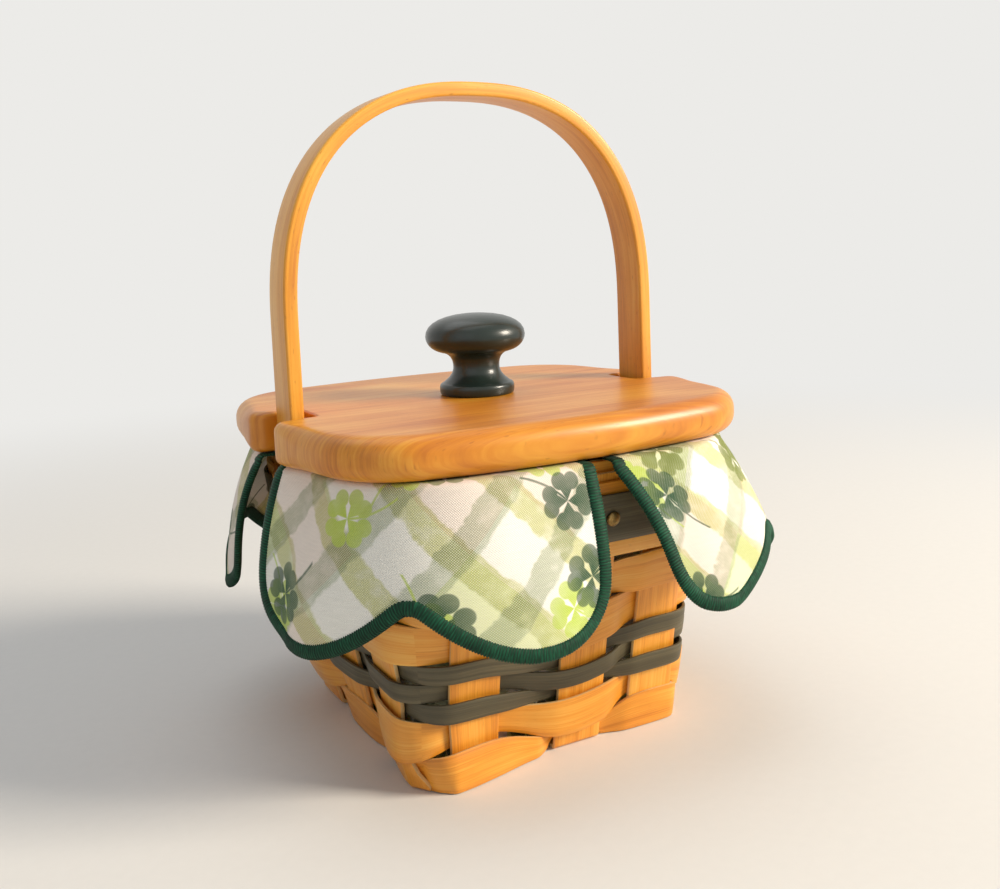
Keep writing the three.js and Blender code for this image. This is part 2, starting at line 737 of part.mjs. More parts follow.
// Outline of the knob from the foot's rim to the top, as a smooth line through its turned stages.
function knobOutline() {
  const foot = 2.4;
  const outline = new THREE.Path();
  outline.moveTo(knobFootRadius - 0.7, 0);
  outline.quadraticCurveTo(knobFootRadius, 0.8, knobFootRadius, foot);
  outline.quadraticCurveTo(knobFootRadius, foot + 1.4, knobFootRadius - 1.2, foot + 1.8);
  outline.bezierCurveTo(knobWaistRadius + 1.4, 6, knobWaistRadius, 7.6, knobWaistRadius, 9.9);
  outline.bezierCurveTo(knobWaistRadius, 12.6, knobWaistRadius + 1, 14.6, knobWaistRadius + 4.4, 15.2);
  outline.bezierCurveTo(knobCapRadius - 2, 16, knobCapRadius, 18.2, knobCapRadius, 20.8);
  outline.bezierCurveTo(knobCapRadius, 25.6, knobCapRadius * 0.62, knobHeight, 0, knobHeight);
  return outline.getPoints(4).map((p) => [p.x, p.y]);
}

const boreDepth = screwReach + 2 * clearance;
const knob = addPiece('knob', turned([
  [0, boreDepth],
  [holeRadius, boreDepth],
  [holeRadius, 0],
  ...knobOutline(),
], 24), paint, lid);
knob.position.z = lidThickness + clearance;

const screwTop = lidThickness + clearance + screwReach;
addPiece('knob_screw', turned([
  [0, screwRecess],
  [screwHeadRadius, screwRecess],
  [screwRadius, screwRecess + screwHeadRadius - screwRadius],
  [screwRadius, screwTop],
  [0, screwTop],
], 12), brass, lid);

export default basket;
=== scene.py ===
"""A small square splint basket with a bentwood handle, a notched board lid with a turned knob,
and a printed cloth liner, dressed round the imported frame.

Lengths are in millimetres, but for the studio's and the meshes', which are in metres.
"""

import logging
import math
from dataclasses import dataclass
from enum import Enum
from typing import Any, Callable, Sequence

import bpy
from mathutils import Matrix, Vector


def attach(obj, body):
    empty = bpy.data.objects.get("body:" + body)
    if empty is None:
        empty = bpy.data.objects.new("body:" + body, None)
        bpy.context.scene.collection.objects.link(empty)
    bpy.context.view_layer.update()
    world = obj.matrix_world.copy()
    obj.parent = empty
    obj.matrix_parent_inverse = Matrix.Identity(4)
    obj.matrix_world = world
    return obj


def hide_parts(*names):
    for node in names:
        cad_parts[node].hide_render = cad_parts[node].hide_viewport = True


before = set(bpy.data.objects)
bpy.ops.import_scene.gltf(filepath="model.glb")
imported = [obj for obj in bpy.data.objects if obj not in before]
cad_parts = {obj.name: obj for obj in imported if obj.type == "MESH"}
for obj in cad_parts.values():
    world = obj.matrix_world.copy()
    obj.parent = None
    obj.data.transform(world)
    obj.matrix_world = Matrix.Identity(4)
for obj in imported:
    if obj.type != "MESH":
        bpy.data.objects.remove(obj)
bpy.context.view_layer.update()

log = logging.getLogger("splint_basket")
MM = 0.001
EASED_DEGREES = 50
ON_AXIS = 0.001 * MM

Piece = bpy.types.Object
Material = bpy.types.Material
Tree = bpy.types.NodeTree
Node = bpy.types.Node
Socket = bpy.types.NodeSocket
Place = Callable[[float, float], Vector]
Flat = Callable[[float, float], tuple[float, float]]


def lerp(a: float, b: float, share: float) -> float:
    """Gives the value a share of the way from a to b."""
    return a + (b - a) * share


def clamp(value: float, low: float = 0.0, high: float = 1.0) -> float:
    """Keeps a value between two limits."""
    return max(low, min(high, value))


def smooth(value: float, low: float, high: float) -> float:
    """Gives the soft step that goes from 0 at low to 1 at high."""
    share = clamp((value - low) / (high - low))
    return share * share * (3 - 2 * share)


def bump(distance: float, reach: float) -> float:
    """Gives the soft hill that is 1 at no distance and 0 at the reach."""
    return (1 + math.cos(math.pi * min(1.0, abs(distance) / reach))) / 2


def running(points: Sequence[Vector]) -> list[float]:
    """Gives the length along a line from its first point to each of its points."""
    runs = [0.0]
    for before, after in zip(points, points[1:]):
        runs.append(runs[-1] + (after - before).length)
    return runs


def hoop_turn(step: int, steps: int) -> float:
    """Gives the turn at a step round the basket, counted from the front left corner."""
    return -0.5 + 4 * (step % steps) / steps


def quarter_turn(point: Vector, face: int) -> Vector:
    """Turns a point from the front face's place to a face's own.

    Args:
        point: The point as it lies on the front face.
        face: The number of quarter turns.

    Returns:
        The turned point.
    """
    return Matrix.Rotation(face * math.pi / 2, 3, "Z") @ point


# Shaping


def only(piece: Piece) -> None:
    """Leaves one object selected and active."""
    bpy.ops.object.select_all(action="DESELECT")
    piece.select_set(True)
    bpy.context.view_layer.objects.active = piece


def new_piece(name: str) -> Piece:
    """Names the primitive that was just added.

    Args:
        name: The piece's name.

    Returns:
        The named object, alone in the selection.
    """
    piece = bpy.context.active_object
    piece.name = name
    piece.data.name = name
    only(piece)
    return piece


def settle(piece: Piece) -> Piece:
    """Puts a piece's place into its mesh and leaves its object at the origin."""
    only(piece)
    bpy.ops.object.transform_apply(location=True, rotation=True, scale=True)
    return piece


def edit(piece: Piece, steps: Callable[[], None], kept: str = "") -> None:
    """Runs operators on a piece in edit mode.

    Args:
        piece: The piece.
        steps: The operators to run.
        kept: EDGE or FACE if the edges or faces that are selected stay so. If it is empty,
            everything is selected.
    """
    only(piece)
    modes = bpy.context.tool_settings
    if kept:
        modes.mesh_select_mode = (False, kept == "EDGE", kept == "FACE")
    bpy.ops.object.mode_set(mode="EDIT")
    if not kept:
        bpy.ops.mesh.select_all(action="SELECT")
    steps()
    bpy.ops.object.mode_set(mode="OBJECT")
    modes.mesh_select_mode = (True, False, False)


def select_edges(piece: Piece, wanted: Callable[[Vector, Vector], bool]) -> None:
    """Selects the edges of a piece whose two ends pass a test.

    Args:
        piece: The piece, in object mode.
        wanted: The test of an edge's two ends, in metres.
    """
    mesh = piece.data
    for part in (*mesh.vertices, *mesh.edges, *mesh.polygons):
        part.select = False
    for edge in mesh.edges:
        ends = [mesh.vertices[i] for i in edge.vertices]
        if wanted(ends[0].co, ends[1].co):
            edge.select = True
            for end in ends:
                end.select = True


def finish_with(piece: Piece, kind: str, settings: dict[str, Any]) -> None:
    """Adds a modifier to a piece and applies it.

    Args:
        piece: The piece.
        kind: The modifier's type.
        settings: The modifier's settings.
    """
    only(piece)
    modifier = piece.modifiers.new(kind.title(), kind)
    for key, value in settings.items():
        setattr(modifier, key, value)
    bpy.ops.object.modifier_apply(modifier=modifier.name)


def smooth_shading(piece: Piece, degrees: float = 40.0) -> None:
    """Shades a piece smooth but for edges that are sharper than an angle."""
    only(piece)
    bpy.ops.object.shade_smooth_by_angle(angle=math.radians(degrees))


def merge() -> None:
    """Merges the selected doubles of the piece in edit mode."""
    bpy.ops.mesh.remove_doubles(threshold=0.01 * MM)


def face_out() -> None:
    """Turns the selected faces of the piece in edit mode outwards."""
    bpy.ops.mesh.normals_make_consistent(inside=False)


def close_up(piece: Piece) -> None:
    """Merges a piece's doubles and turns its faces outwards."""

    def steps() -> None:
        """Merges and turns."""
        merge()
        face_out()

    edit(piece, steps)


def cap_ends(piece: Piece, sides: int) -> None:
    """Closes a tube's open ends, each with one face.

    Args:
        piece: The tube.
        sides: The number of sides round the tube.
    """

    def steps() -> None:
        """Fills the open edges."""
        bpy.ops.mesh.select_all(action="DESELECT")
        bpy.ops.mesh.select_non_manifold()
        bpy.ops.mesh.fill_holes(sides=sides)
        bpy.ops.mesh.select_all(action="SELECT")
        face_out()

    edit(piece, steps, kept="EDGE")


def woven_sheet(name: str, across: int, along: int, place: Place, flat: Flat) -> Piece:
    """Lays a grid over a surface.

    Args:
        name: The piece's name.
        across: The number of steps in the first share.
        along: The number of steps in the second share.
        place: Gives the point in millimetres for two shares from 0 to 1.
        flat: Gives the unrolled place in millimetres for the same shares.

    Returns:
        The sheet, with its unrolled place in metres as its UV map.
    """
    bpy.ops.object.select_all(action="DESELECT")
    bpy.ops.mesh.primitive_grid_add(x_subdivisions=across, y_subdivisions=along, size=1)
    piece = new_piece(name)
    mesh = piece.data
    layer = mesh.uv_layers[0].data
    shares = [(v.co.x + 0.5, v.co.y + 0.5) for v in mesh.vertices]
    for loop in mesh.loops:
        u, v = flat(*shares[loop.vertex_index])
        layer[loop.index].uv = (u * MM, v * MM)
    for vertex, share in zip(mesh.vertices, shares):
        vertex.co = place(*share) * MM
    return piece


def thicken(piece: Piece, thickness: float, ease: float) -> None:
    """Gives a sheet its thickness, half to each side, and breaks its edges.

    Args:
        piece: The sheet.
        thickness: The thickness in millimetres.
        ease: The width of the rounded edge in millimetres, or 0 for none.
    """
    finish_with(piece, "SOLIDIFY", {
        "thickness": thickness * MM,
        "offset": 0.0,
        "use_even_offset": True,
        "material_offset_rim": max(0, len(piece.data.materials) - 1),
    })
    if ease > 0:
        finish_with(piece, "BEVEL", {
            "width": ease * MM,
            "segments": 2,
            "limit_method": "ANGLE",
            "angle_limit": math.radians(EASED_DEGREES),
        })
    smooth_shading(piece)


def turned(name: str, outline: Sequence[tuple[float, float]], base: float, steps: int) -> Piece:
    """Turns an outline round the upright axis.

    Args:
        name: The piece's name.
        outline: The radii and heights, from axis to axis.
        base: The height of the outline's foot.
        steps: The number of steps round.

    Returns:
        The turned piece.
    """
    bpy.ops.object.select_all(action="DESELECT")
    bpy.ops.mesh.primitive_circle_add(vertices=len(outline), radius=1, fill_type="NOTHING")
    piece = new_piece(name)
    for vertex, (radius, height) in zip(piece.data.vertices, outline):
        vertex.co = Vector((radius, 0, base + height)) * MM

    def spin() -> None:
        """Takes the edge on the axis away, spins the rest, and closes it."""
        bpy.ops.mesh.delete(type="EDGE_FACE")
        bpy.ops.mesh.select_all(action="SELECT")
        bpy.ops.mesh.spin(steps=steps, angle=2 * math.pi, center=(0, 0, 0), axis=(0, 0, 1))
        bpy.ops.mesh.select_all(action="SELECT")
        merge()
        face_out()

    select_edges(piece, lambda a, b: a.x < ON_AXIS and b.x < ON_AXIS)
    edit(piece, spin, kept="EDGE")
    smooth_shading(piece, 50)
    return piece


# Basket wall


@dataclass(frozen=True)
class Wall:
    """The basket's wall at the middle of its upright splints.

    Turn 0 is the middle of the front face, and 1, 2 and 3 are the middles of the right, back and
    left faces. The half turns are the corners.
    """

    foot_half: float = 47.4
    top_half: float = 66.1
    foot_radius: float = 3.5
    top_radius: float = 36.0
    rim_top: float = 97.6
    leg_slot: float = 9.5
    bulge: float = 4.5
    bulge_turn: float = 2.65
    bulge_reach: float = 0.5
    bulge_heights: tuple[float, float, float, float] = (2.0, 26.0, 52.0, 72.0)
    corner_bulge: float = 4.2
    corner_reach: float = 0.36
    corner_heights: tuple[float, float] = (6.0, 32.0)
    front_spots: tuple[float, ...] = (-33.0, 6.5, 35.0)
    side_spots: tuple[float, ...] = (-34.0, 0.0, 34.0)

    def half(self, z: float) -> float:
        """Gives half the wall's width at a height."""
        return lerp(self.foot_half, self.top_half, z / self.rim_top)

    def radius(self, z: float) -> float:
        """Gives the radius of the wall's corners at a height."""
        return lerp(self.foot_radius, self.top_radius, z / self.rim_top)

    def straight(self, z: float) -> float:
        """Gives half the straight part of a face at a height."""
        return self.half(z) - self.radius(z)

    def face_half(self, z: float) -> float:
        """Gives the run round the wall from a face's middle to its corner."""
        return self.straight(z) + self.radius(z) * math.pi / 4

    @property
    def lean(self) -> float:
        """The angle at which the wall leans out."""
        return math.atan2(self.top_half - self.foot_half, self.rim_top)

    def leg_bow(self, along: float) -> float:
        """Gives how far the rim bows out over a handle leg, from 1 on it to 0 beside it."""
        span = self.straight(self.rim_top) - self.leg_slot
        return (1 + math.cos(math.pi * clamp((abs(along) - self.leg_slot) / span))) / 2

    def bulged(self, turn: float, z: float) -> float:
        """Gives how far the wall is pushed out: near the back left corner at half height, and at
        the foot of the front left corner."""
        away = abs((turn - self.bulge_turn + 2) % 4 - 2)
        low, high, falling, over = self.bulge_heights
        level = smooth(z, low, high) * (1 - smooth(z, falling, over))
        from_corner = abs((turn + 0.5 + 2) % 4 - 2)
        near = bump(from_corner, self.corner_reach)
        foot = self.corner_bulge * near * (1 - smooth(z, *self.corner_heights))
        return self.bulge * bump(away, self.bulge_reach) * level + foot

    def point(self, turn: float, z: float, offset: float, lift: float = 0.0) -> Vector:
        """Gives a point off the wall.

        Args:
            turn: The place round the wall.
            z: The height.
            offset: The distance outwards from the wall's middle surface.
            lift: How far the wall bows out over the handle legs.

        Returns:
            The point in millimetres.
        """
        face = math.floor(turn + 0.5)
        straight = self.straight(z)
        radius = self.radius(z)
        offset += self.bulged(turn, z)
        run = (turn - face) * 2 * self.face_half(z)
        bend = max(0.0, abs(run) - straight) / radius
        along = math.copysign(min(abs(run), straight) + (radius + offset) * math.sin(bend), run)
        on_leg = lift * self.leg_bow(along) if face % 2 == 1 else 0.0
        out = straight + (radius + offset) * math.cos(bend) + on_leg
        return quarter_turn(Vector((along, -out, z)), face)

    def turn_at(self, face: int, along: float, z: float) -> float:
        """Gives the turn at which a face's own sideways distance is reached.

        Args:
            face: The face's number.
            along: The sideways distance from its middle.
            z: The height.

        Returns:
            The turn.
        """
        straight = self.straight(z)
        radius = self.radius(z)
        run = abs(along)
        if run > straight:
            run = straight + radius * math.asin(min(1.0, (run - straight) / radius))
        return face + math.copysign(run, along) / (2 * self.face_half(z))

    def uprights(self) -> list[tuple[int, float]]:
        """Gives the face and sideways place of the twelve uprights in the order of the turns."""
        near = (self.front_spots, self.side_spots)
        rows = (*near, *(tuple(-spot for spot in reversed(row)) for row in near))
        return [(face, spot) for face, spots in enumerate(rows) for spot in spots]

    def ring_length(self, z: float) -> float:
        """Gives the length right round the wall at a height."""
        return 8 * self.face_half(z)


WALL = Wall()


def dressed(piece: Piece, material: Material, body: str, node: str) -> None:
    """Gives a finished piece its material and its place in the frame.

    Args:
        piece: The piece.
        material: Its material, unless it has its own already.
        body: The body that it rides on.
        node: The node that it stands for.
    """
    if not piece.data.materials:
        piece.data.materials.append(material)
    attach(piece, body)
    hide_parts(node)
    log.info("%s: %d faces", piece.name, len(piece.data.polygons))


# Upright splints


@dataclass(frozen=True)
class Uprights:
    """Six splints that cross as the base and bend up into the twelve uprights."""

    material: Material
    cut: Material
    width: float = 17.5
    thickness: float = 1.5
    splay: float = 4.6
    top: float = 94.0
    bend: float = 1.35
    clearance: float = 0.3
    ease: float = 0.35
    wall_foot: float = 6.0
    wall_steps: int = 22
    bend_steps: int = 4

    @property
    def low(self) -> float:
        """The height of the middle of a splint that lies on the table."""
        return self.thickness / 2

    @property
    def high(self) -> float:
        """The height of the middle of a splint that lies over another."""
        return self.low + self.thickness + self.clearance

    def splayed(self, face: int, spot: float, out: float, z: float) -> float:
        """Gives how far a splint runs aside towards the foot of the front left corner.

        Args:
            face: The face of its first end.
            spot: Its sideways place there.
            out: The distance along it from the basket's middle, towards its second end.
            z: The height.

        Returns:
            The distance in millimetres.
        """
        if face != 1 or spot > WALL.side_spots[0]:
            return 0.0
        return -self.splay * smooth(out, 12, 44) * (1 - smooth(z, 0, 20))

    def line(self, face: int, spot: float, crossings: Sequence[float],
             is_high: Callable[[int], bool]) -> list[Callable[[float], Vector]]:
        """Gives the stations along one splint, from one top down and over to the other.

        Args:
            face: The face of its first end.
            spot: Its sideways place there.
            crossings: Where the splints across it cross it.
            is_high: Tells whether it lies over a crossing splint.

        Returns:
            For each station, what gives its point for a distance across the splint.
        """
        stations: list[Callable[[float], Vector]] = []

        def add_wall(side: int, z: float) -> None:
            """Adds a station on a wall."""
            far = face + 2 if side > 0 else face
            aside = spot + self.splayed(face, spot, side * WALL.foot_half, z)
            stations.append(lambda across: WALL.point(
                WALL.turn_at(far, -side * (aside + across), z), z, 0.0))

        def add_base(out: float, z: float) -> None:
            """Adds a station at a height above the table."""
            aside = spot + self.splayed(face, spot, out, z)
            stations.append(lambda across: quarter_turn(Vector((aside + across, out, z)), face))

        def add_bend(side: int, angle: float, level: float) -> None:
            """Adds a station on the bend from the base to a wall."""
            centre = level + self.bend
            reach = self.bend * (math.sin(angle) - math.sin(math.pi / 2 - WALL.lean))
            far = face + 2 if side > 0 else face
            aside = spot + self.splayed(face, spot, side * WALL.foot_half, centre)

            def spot_at(across: float) -> Vector:
                """Gives the bend's point for a distance across the splint."""
                turn = WALL.turn_at(far, -side * (aside + across), centre)
                point = WALL.point(turn, centre, reach)
                return Vector((point.x, point.y, centre - self.bend * math.cos(angle)))

            stations.append(spot_at)

        last = math.pi / 2 - WALL.lean
        angles = [last * i / self.bend_steps for i in range(self.bend_steps + 1)]
        heights = [lerp(self.wall_foot, self.top, (i / self.wall_steps) ** 0.9)
                   for i in range(self.wall_steps + 1)]
        levels = [self.high if is_high(i) else self.low for i in range(len(crossings))]
        for z in reversed(heights):
            add_wall(-1, z)
        for angle in reversed(angles):
            add_bend(-1, angle, levels[0])
        flat = self.width / 2 + 2 * self.clearance
        rim = WALL.foot_half - self.bend - self.clearance
        for i, crossing in enumerate(crossings):
            low, high = max(crossing - flat, -rim), min(crossing + flat, rim)
            for step in range(4):
                add_base(lerp(low, high, step / 3), levels[i])
            if i + 1 < len(crossings):
                after = crossings[i + 1] - flat
                for share in (0.25, 0.5, 0.75):
                    z = lerp(levels[i], levels[i + 1], smooth(share, 0, 1))
                    add_base(lerp(high, after, share), z)
        for angle in angles:
            add_bend(1, angle, levels[-1])
        for z in heights:
            add_wall(1, z)
        return stations

    def splint(self, name: str, face: int, spot: float, crossings: Sequence[float],
               is_high: Callable[[int], bool]) -> Piece:
        """Builds one splint.

        Args:
            name: The piece's name.
            face: The face of its first end.
            spot: Its sideways place there.
            crossings: Where the splints across it cross it.
            is_high: Tells whether it lies over a crossing splint.

        Returns:
            The splint.
        """
        stations = self.line(face, spot, crossings, is_high)
        runs = running([station(0.0) for station in stations])
        last = len(stations) - 1

        def place(u: float, v: float) -> Vector:
            """Gives the point for a share across and a share along."""
            return stations[round(v * last)]((u - 0.5) * self.width)

        def flat(u: float, v: float) -> tuple[float, float]:
            """Gives the unrolled place, the grain's way first, with its own start for each."""
            return runs[round(v * last)] + 37 * spot + 11 * face, (u - 0.5) * self.width

        piece = woven_sheet(name, 6, last, place, flat)
        piece.data.materials.append(self.material)
        piece.data.materials.append(self.cut)
        thicken(piece, self.thickness, self.ease)
        return piece

    def build(self) -> None:
        """Builds and dresses the six splints."""
        far = [-spot for spot in reversed(WALL.front_spots)]
        sets = (
            ("front", "splint_front_to_back", WALL.front_spots, WALL.side_spots),
            ("side", "splint_side_to_side", WALL.side_spots, far),
        )
        for face, (side, node, spots, crossings) in enumerate(sets):
            for i, spot in enumerate(spots):
                piece = self.splint(f"upright_{side}_{i + 1}", face, spot, crossings,
                                    lambda j, i=i, face=face: (i + j) % 2 == face)
                dressed(piece, self.material, "basket", f"{node}_{i + 1}")


# Woven rows


@dataclass(frozen=True)
class Row:
    """One woven hoop: its node, its finish's slot, and its number from the foot."""

    name: str
    slot: str
    number: int


@dataclass(frozen=True)
class WovenRows:
    """Seven hoops of splint that go over and under the uprights in turn.

    Between two rows the edge wanders, because the row that is in front there shows all its width:
    `edges` is its mean height and `sways` how much higher it is where the odd rows are in front.
    """

    natural: Material
    stained: Material
    cut: Material
    thickness: float = 1.0
    stock_width: float = 16.0
    ease: float = 0.22
    reach: float = 1.72
    slack: float = 0.9
    flat_share: float = 0.53
    upright_width: float = 17.5
    crossing_slack: float = 0.6
    gap: float = 0.3
    foot: float = 0.3
    inside_foot: float = 4.5
    tucked_sides: tuple[float, float] = (-0.92, -0.72)
    top: float = 65.3
    edges: tuple[float, ...] = (10.6, 22.3, 28.1, 34.4, 40.5, 53.3)
    sways: tuple[float, ...] = (2.6, -0.8, 0.1, -0.1, 0.3, -1.2)
    sag: float = 5.0
    sag_reach: float = 34.0
    belly: float = 3.0
    belly_turns: tuple[float, float, float, float] = (-0.505, -0.44, -0.11, -0.03)
    belly_taper: float = 0.35
    crown: float = 0.22
    tuck: float = 1.0
    tuck_reach: float = 0.045
    steps: int = 336
    rows: tuple[Row, ...] = (
        Row("natural_row_1", "splint_wood", 0),
        Row("natural_row_2", "splint_wood", 1),
        Row("stained_strip_1", "stained_splint", 2),
        Row("stained_strip_2", "stained_splint", 3),
        Row("stained_strip_3", "stained_splint", 4),
        Row("natural_row_3", "splint_wood", 5),
        Row("natural_row_4", "splint_wood", 6),
    )

    def sides(self, z: float, starts_over: bool) -> list[float]:
        """Gives how far out a row stands at each step round the basket.

        Args:
            z: The row's height.
            starts_over: Whether it goes over the first upright.

        Returns:
            From 1 in front of an upright to -1 behind one.
        """
        flat = self.upright_width / 2 + self.crossing_slack
        knots: list[tuple[float, float]] = []
        for index, (face, spot) in enumerate(WALL.uprights()):
            angle = math.pi * (index + (0 if starts_over else 1))
            knots.append((WALL.turn_at(face, spot - flat, z), angle - self.flat_share))
            knots.append((WALL.turn_at(face, spot + flat, z), angle + self.flat_share))
        first = knots[0]
        knots.append((first[0] + 4, first[1] + 12 * math.pi))
        values = []
        for i in range(self.steps):
            turn = hoop_turn(i, self.steps)
            turn += 4 if turn < first[0] else 0
            at = max(k for k in range(len(knots) - 1) if knots[k][0] <= turn + 1e-9)
            (t0, a0), (t1, a1) = knots[at], knots[at + 1]
            values.append(math.cos(lerp(a0, a1, (turn - t0) / (t1 - t0))))
        for _ in range(2):
            values = [(values[i - 1] + 2 * values[i] + values[(i + 1) % self.steps]) / 4
                      for i in range(self.steps)]
        return values

    def dip(self, turn: float, z: float) -> float:
        """Gives how far the rows dip at the middle of the front and back faces."""
        face = math.floor(turn + 0.5)
        if face % 2 == 1:
            return 0.0
        return self.sag * bump(abs(turn - face) * 2 * WALL.face_half(z), self.sag_reach)

    def edge(self, row: Row, upper: bool, turn: float, side: float) -> float:
        """Gives the height of a row's edge.

        Args:
            row: The row.
            upper: Whether it is the upper edge.
            turn: The place round the wall.
            side: How far out the row stands there, from -1 to 1.

        Returns:
            The height in millimetres.
        """
        line = row.number + (1 if upper else 0)
        if line == 0:
            return lerp(self.inside_foot, self.foot, smooth(side, *self.tucked_sides))
        if line == len(self.rows):
            return self.top - self.dip(turn, self.top)
        odd_side = side if row.number % 2 == 0 else -side
        height = self.edges[line - 1] + self.sways[line - 1] * odd_side
        away = -self.gap / 2 if upper else self.gap / 2
        # The lower an edge is, the less it dips.
        return height + away - self.dip(turn, height) * min(1.0, 0.2 + 0.3 * line)

    def first_offset(self, turn: float, side: float) -> float:
        """Gives how far out the lowest row stands, which is loose beside the front left corner."""
        start, full, easing, stop = self.belly_turns
        loose = smooth(turn, start, full) * (1 - smooth(turn, easing, stop))
        return side * self.reach + self.belly * loose

    def row(self, row: Row, name: str) -> Piece:
        """Builds one hoop.

        Args:
            row: The row.
            name: The piece's name.

        Returns:
            The hoop.
        """
        middle = lerp(0.0, self.top, (row.number + 0.5) / len(self.rows))
        sides = self.sides(middle, row.number % 2 == 0)
        depths = sides
        if row.number == 0:
            # It comes out from behind the last upright only past the corner.
            depths = [
                side - self.tuck * bump(min(i, self.steps - i) * 4 / self.steps, self.tuck_reach)
                for i, side in enumerate(sides)
            ]
        length = WALL.ring_length(middle)

        def place(u: float, v: float) -> Vector:
            """Gives the point for a share round and a share up."""
            step = round(u * self.steps) % self.steps
            turn = hoop_turn(step, self.steps)
            side = depths[step]
            low = self.edge(row, False, turn, side)
            high = self.edge(row, True, turn, sides[step])
            looser = 0.5 + 0.5 * math.sin(2.9 * turn * math.pi + 2.1 * row.number)
            offset = side * (self.reach + (self.slack * looser if side > 0 else 0.0))
            if row.number == 0:
                offset = self.first_offset(turn, side) * (1 - self.belly_taper * v)
            crown = self.crown * (1 - (2 * v - 1) ** 2) * side
            return WALL.point(turn, lerp(low, high, v), offset + crown)

        def flat(u: float, v: float) -> tuple[float, float]:
            """Gives the unrolled place, the grain's way first."""
            return u * length + 631 * (row.number + 1), v * self.stock_width

        piece = woven_sheet(name, self.steps, 6, place, flat)
        edit(piece, merge)
        if row.slot == "splint_wood":
            piece.data.materials.append(self.natural)
            piece.data.materials.append(self.cut)
        thicken(piece, self.thickness, self.ease)
        return piece

    def build(self) -> None:
        """Builds and dresses the seven hoops."""
        for row in self.rows:
            piece = self.row(row, row.name.replace("natural_row", "wide_splint_row")
                             .replace("stained_strip", "narrow_stained_row"))
            finish = self.natural if row.slot == "splint_wood" else self.stained
            dressed(piece, finish, "basket", row.name)


# Rim


@dataclass(frozen=True)
class Band:
    """A flat band round the rim: its offsets from the wall and its heights."""

    inside: float
    outside: float
    foot: float
    top: float
    lift: float


@dataclass(frozen=True)
class Rim:
    """The bands that clamp the uprights and the handle legs, the stained trim and its tacks."""

    natural: Material
    stained: Material
    brass: Material
    inner: Band = Band(-2.65, -1.15, 72.2, 97.6, 0.0)
    outer: Band = Band(1.15, 2.95, 66.0, 91.4, 5.2)
    trim: Band = Band(3.35, 4.55, 71.6, 87.6, 5.2)
    steps: int = 192
    tack_radius: float = 2.4
    tack_height: float = 1.0
    tack_spread: float = 10.5
    leg_tack_spread: float = 4.0
    tack_gap: float = 0.3
    edge_height: float = 0.4
    dome_rings: tuple[tuple[float, float], ...] = ((0.82, 0.32), (0.72, 0.2), (0.5, 0.08))

    def band(self, name: str, shape: Band, ease: float, start: float) -> Piece:
        """Builds one band.

        Args:
            name: The piece's name.
            shape: Its offsets and heights.
            ease: The width of its rounded edges.
            start: Where its grain starts, in millimetres.

        Returns:
            The band.
        """
        middle = (shape.inside + shape.outside) / 2
        thickness = shape.outside - shape.inside
        length = WALL.ring_length(shape.top)

        def place(u: float, v: float) -> Vector:
            """Gives the point for a share round and a share up."""
            turn = hoop_turn(round(u * self.steps), self.steps)
            crown = -0.15 * thickness * (2 * v - 1) ** 2
            return WALL.point(turn, lerp(shape.foot, shape.top, v), middle + crown, shape.lift)

        piece = woven_sheet(name, self.steps, 6, place,
                            lambda u, v: (u * length + start, v * (shape.top - shape.foot)))
        edit(piece, merge)
        thicken(piece, thickness * 0.85, ease)
        return piece

    def tack(self) -> Piece:
        """Builds one tack with a domed head, its foot at the origin and its head up."""
        bpy.ops.object.select_all(action="DESELECT")
        edge = self.tack_height * self.edge_height * MM
        bpy.ops.mesh.primitive_cylinder_add(vertices=24, radius=self.tack_radius * MM, depth=edge,
                                            location=(0, 0, edge / 2))
        piece = settle(new_piece("tack"))

        def dome() -> None:
            """Draws the upper face up into a dome in three rings."""
            for share, rise in self.dome_rings:
                bpy.ops.mesh.inset(thickness=0)
                bpy.ops.transform.resize(value=(share, share, 1))
                bpy.ops.transform.translate(value=(0, 0, self.tack_height * MM * rise))

        for face in piece.data.polygons:
            face.select = face.normal.z > 0.9
        for vertex in piece.data.vertices:
            vertex.select = vertex.co.z > edge / 2
        edit(piece, dome, kept="FACE")
        smooth_shading(piece, 60)
        return piece

    def build(self) -> None:
        """Builds and dresses the bands and the tacks."""
        wood, stain = (self.natural, "splint_wood"), (self.stained, "stained_splint")
        for name, shape, ease, start, (finish, slot), node in (
            ("inner_rim_hoop", self.inner, 0.35, 90, wood, "inner_rim_band"),
            ("outer_rim_hoop", self.outer, 0.45, 1300, wood, "outer_rim_band"),
            ("stained_trim_hoop", self.trim, 0.3, 2700, stain, "rim_trim"),
        ):
            dressed(self.band(name, shape, ease, start), finish, "basket", node)
        first = self.tack()
        height = (self.trim.foot + self.trim.top) / 2
        number = 0
        for face in range(4):
            spread = self.leg_tack_spread if face % 2 == 1 else self.tack_spread
            for side in (-1, 1):
                number += 1
                spot = WALL.point(WALL.turn_at(face, side * spread, height), height,
                                  self.trim.outside + self.tack_gap, self.trim.lift)
                lean = Matrix.Rotation(math.pi / 2 + WALL.lean, 4, "X")
                stand = Matrix.Rotation(face * math.pi / 2, 4, "Z") @ lean
                piece = first.copy()
                piece.data = first.data.copy()
                bpy.context.scene.collection.objects.link(piece)
                piece.name = f"brass_tack_{number}"
                piece.data.transform(Matrix.Translation(spot * MM) @ stand)
                dressed(piece, self.brass, "basket", f"tack_{number}")
        bpy.data.objects.remove(first)


# Handle


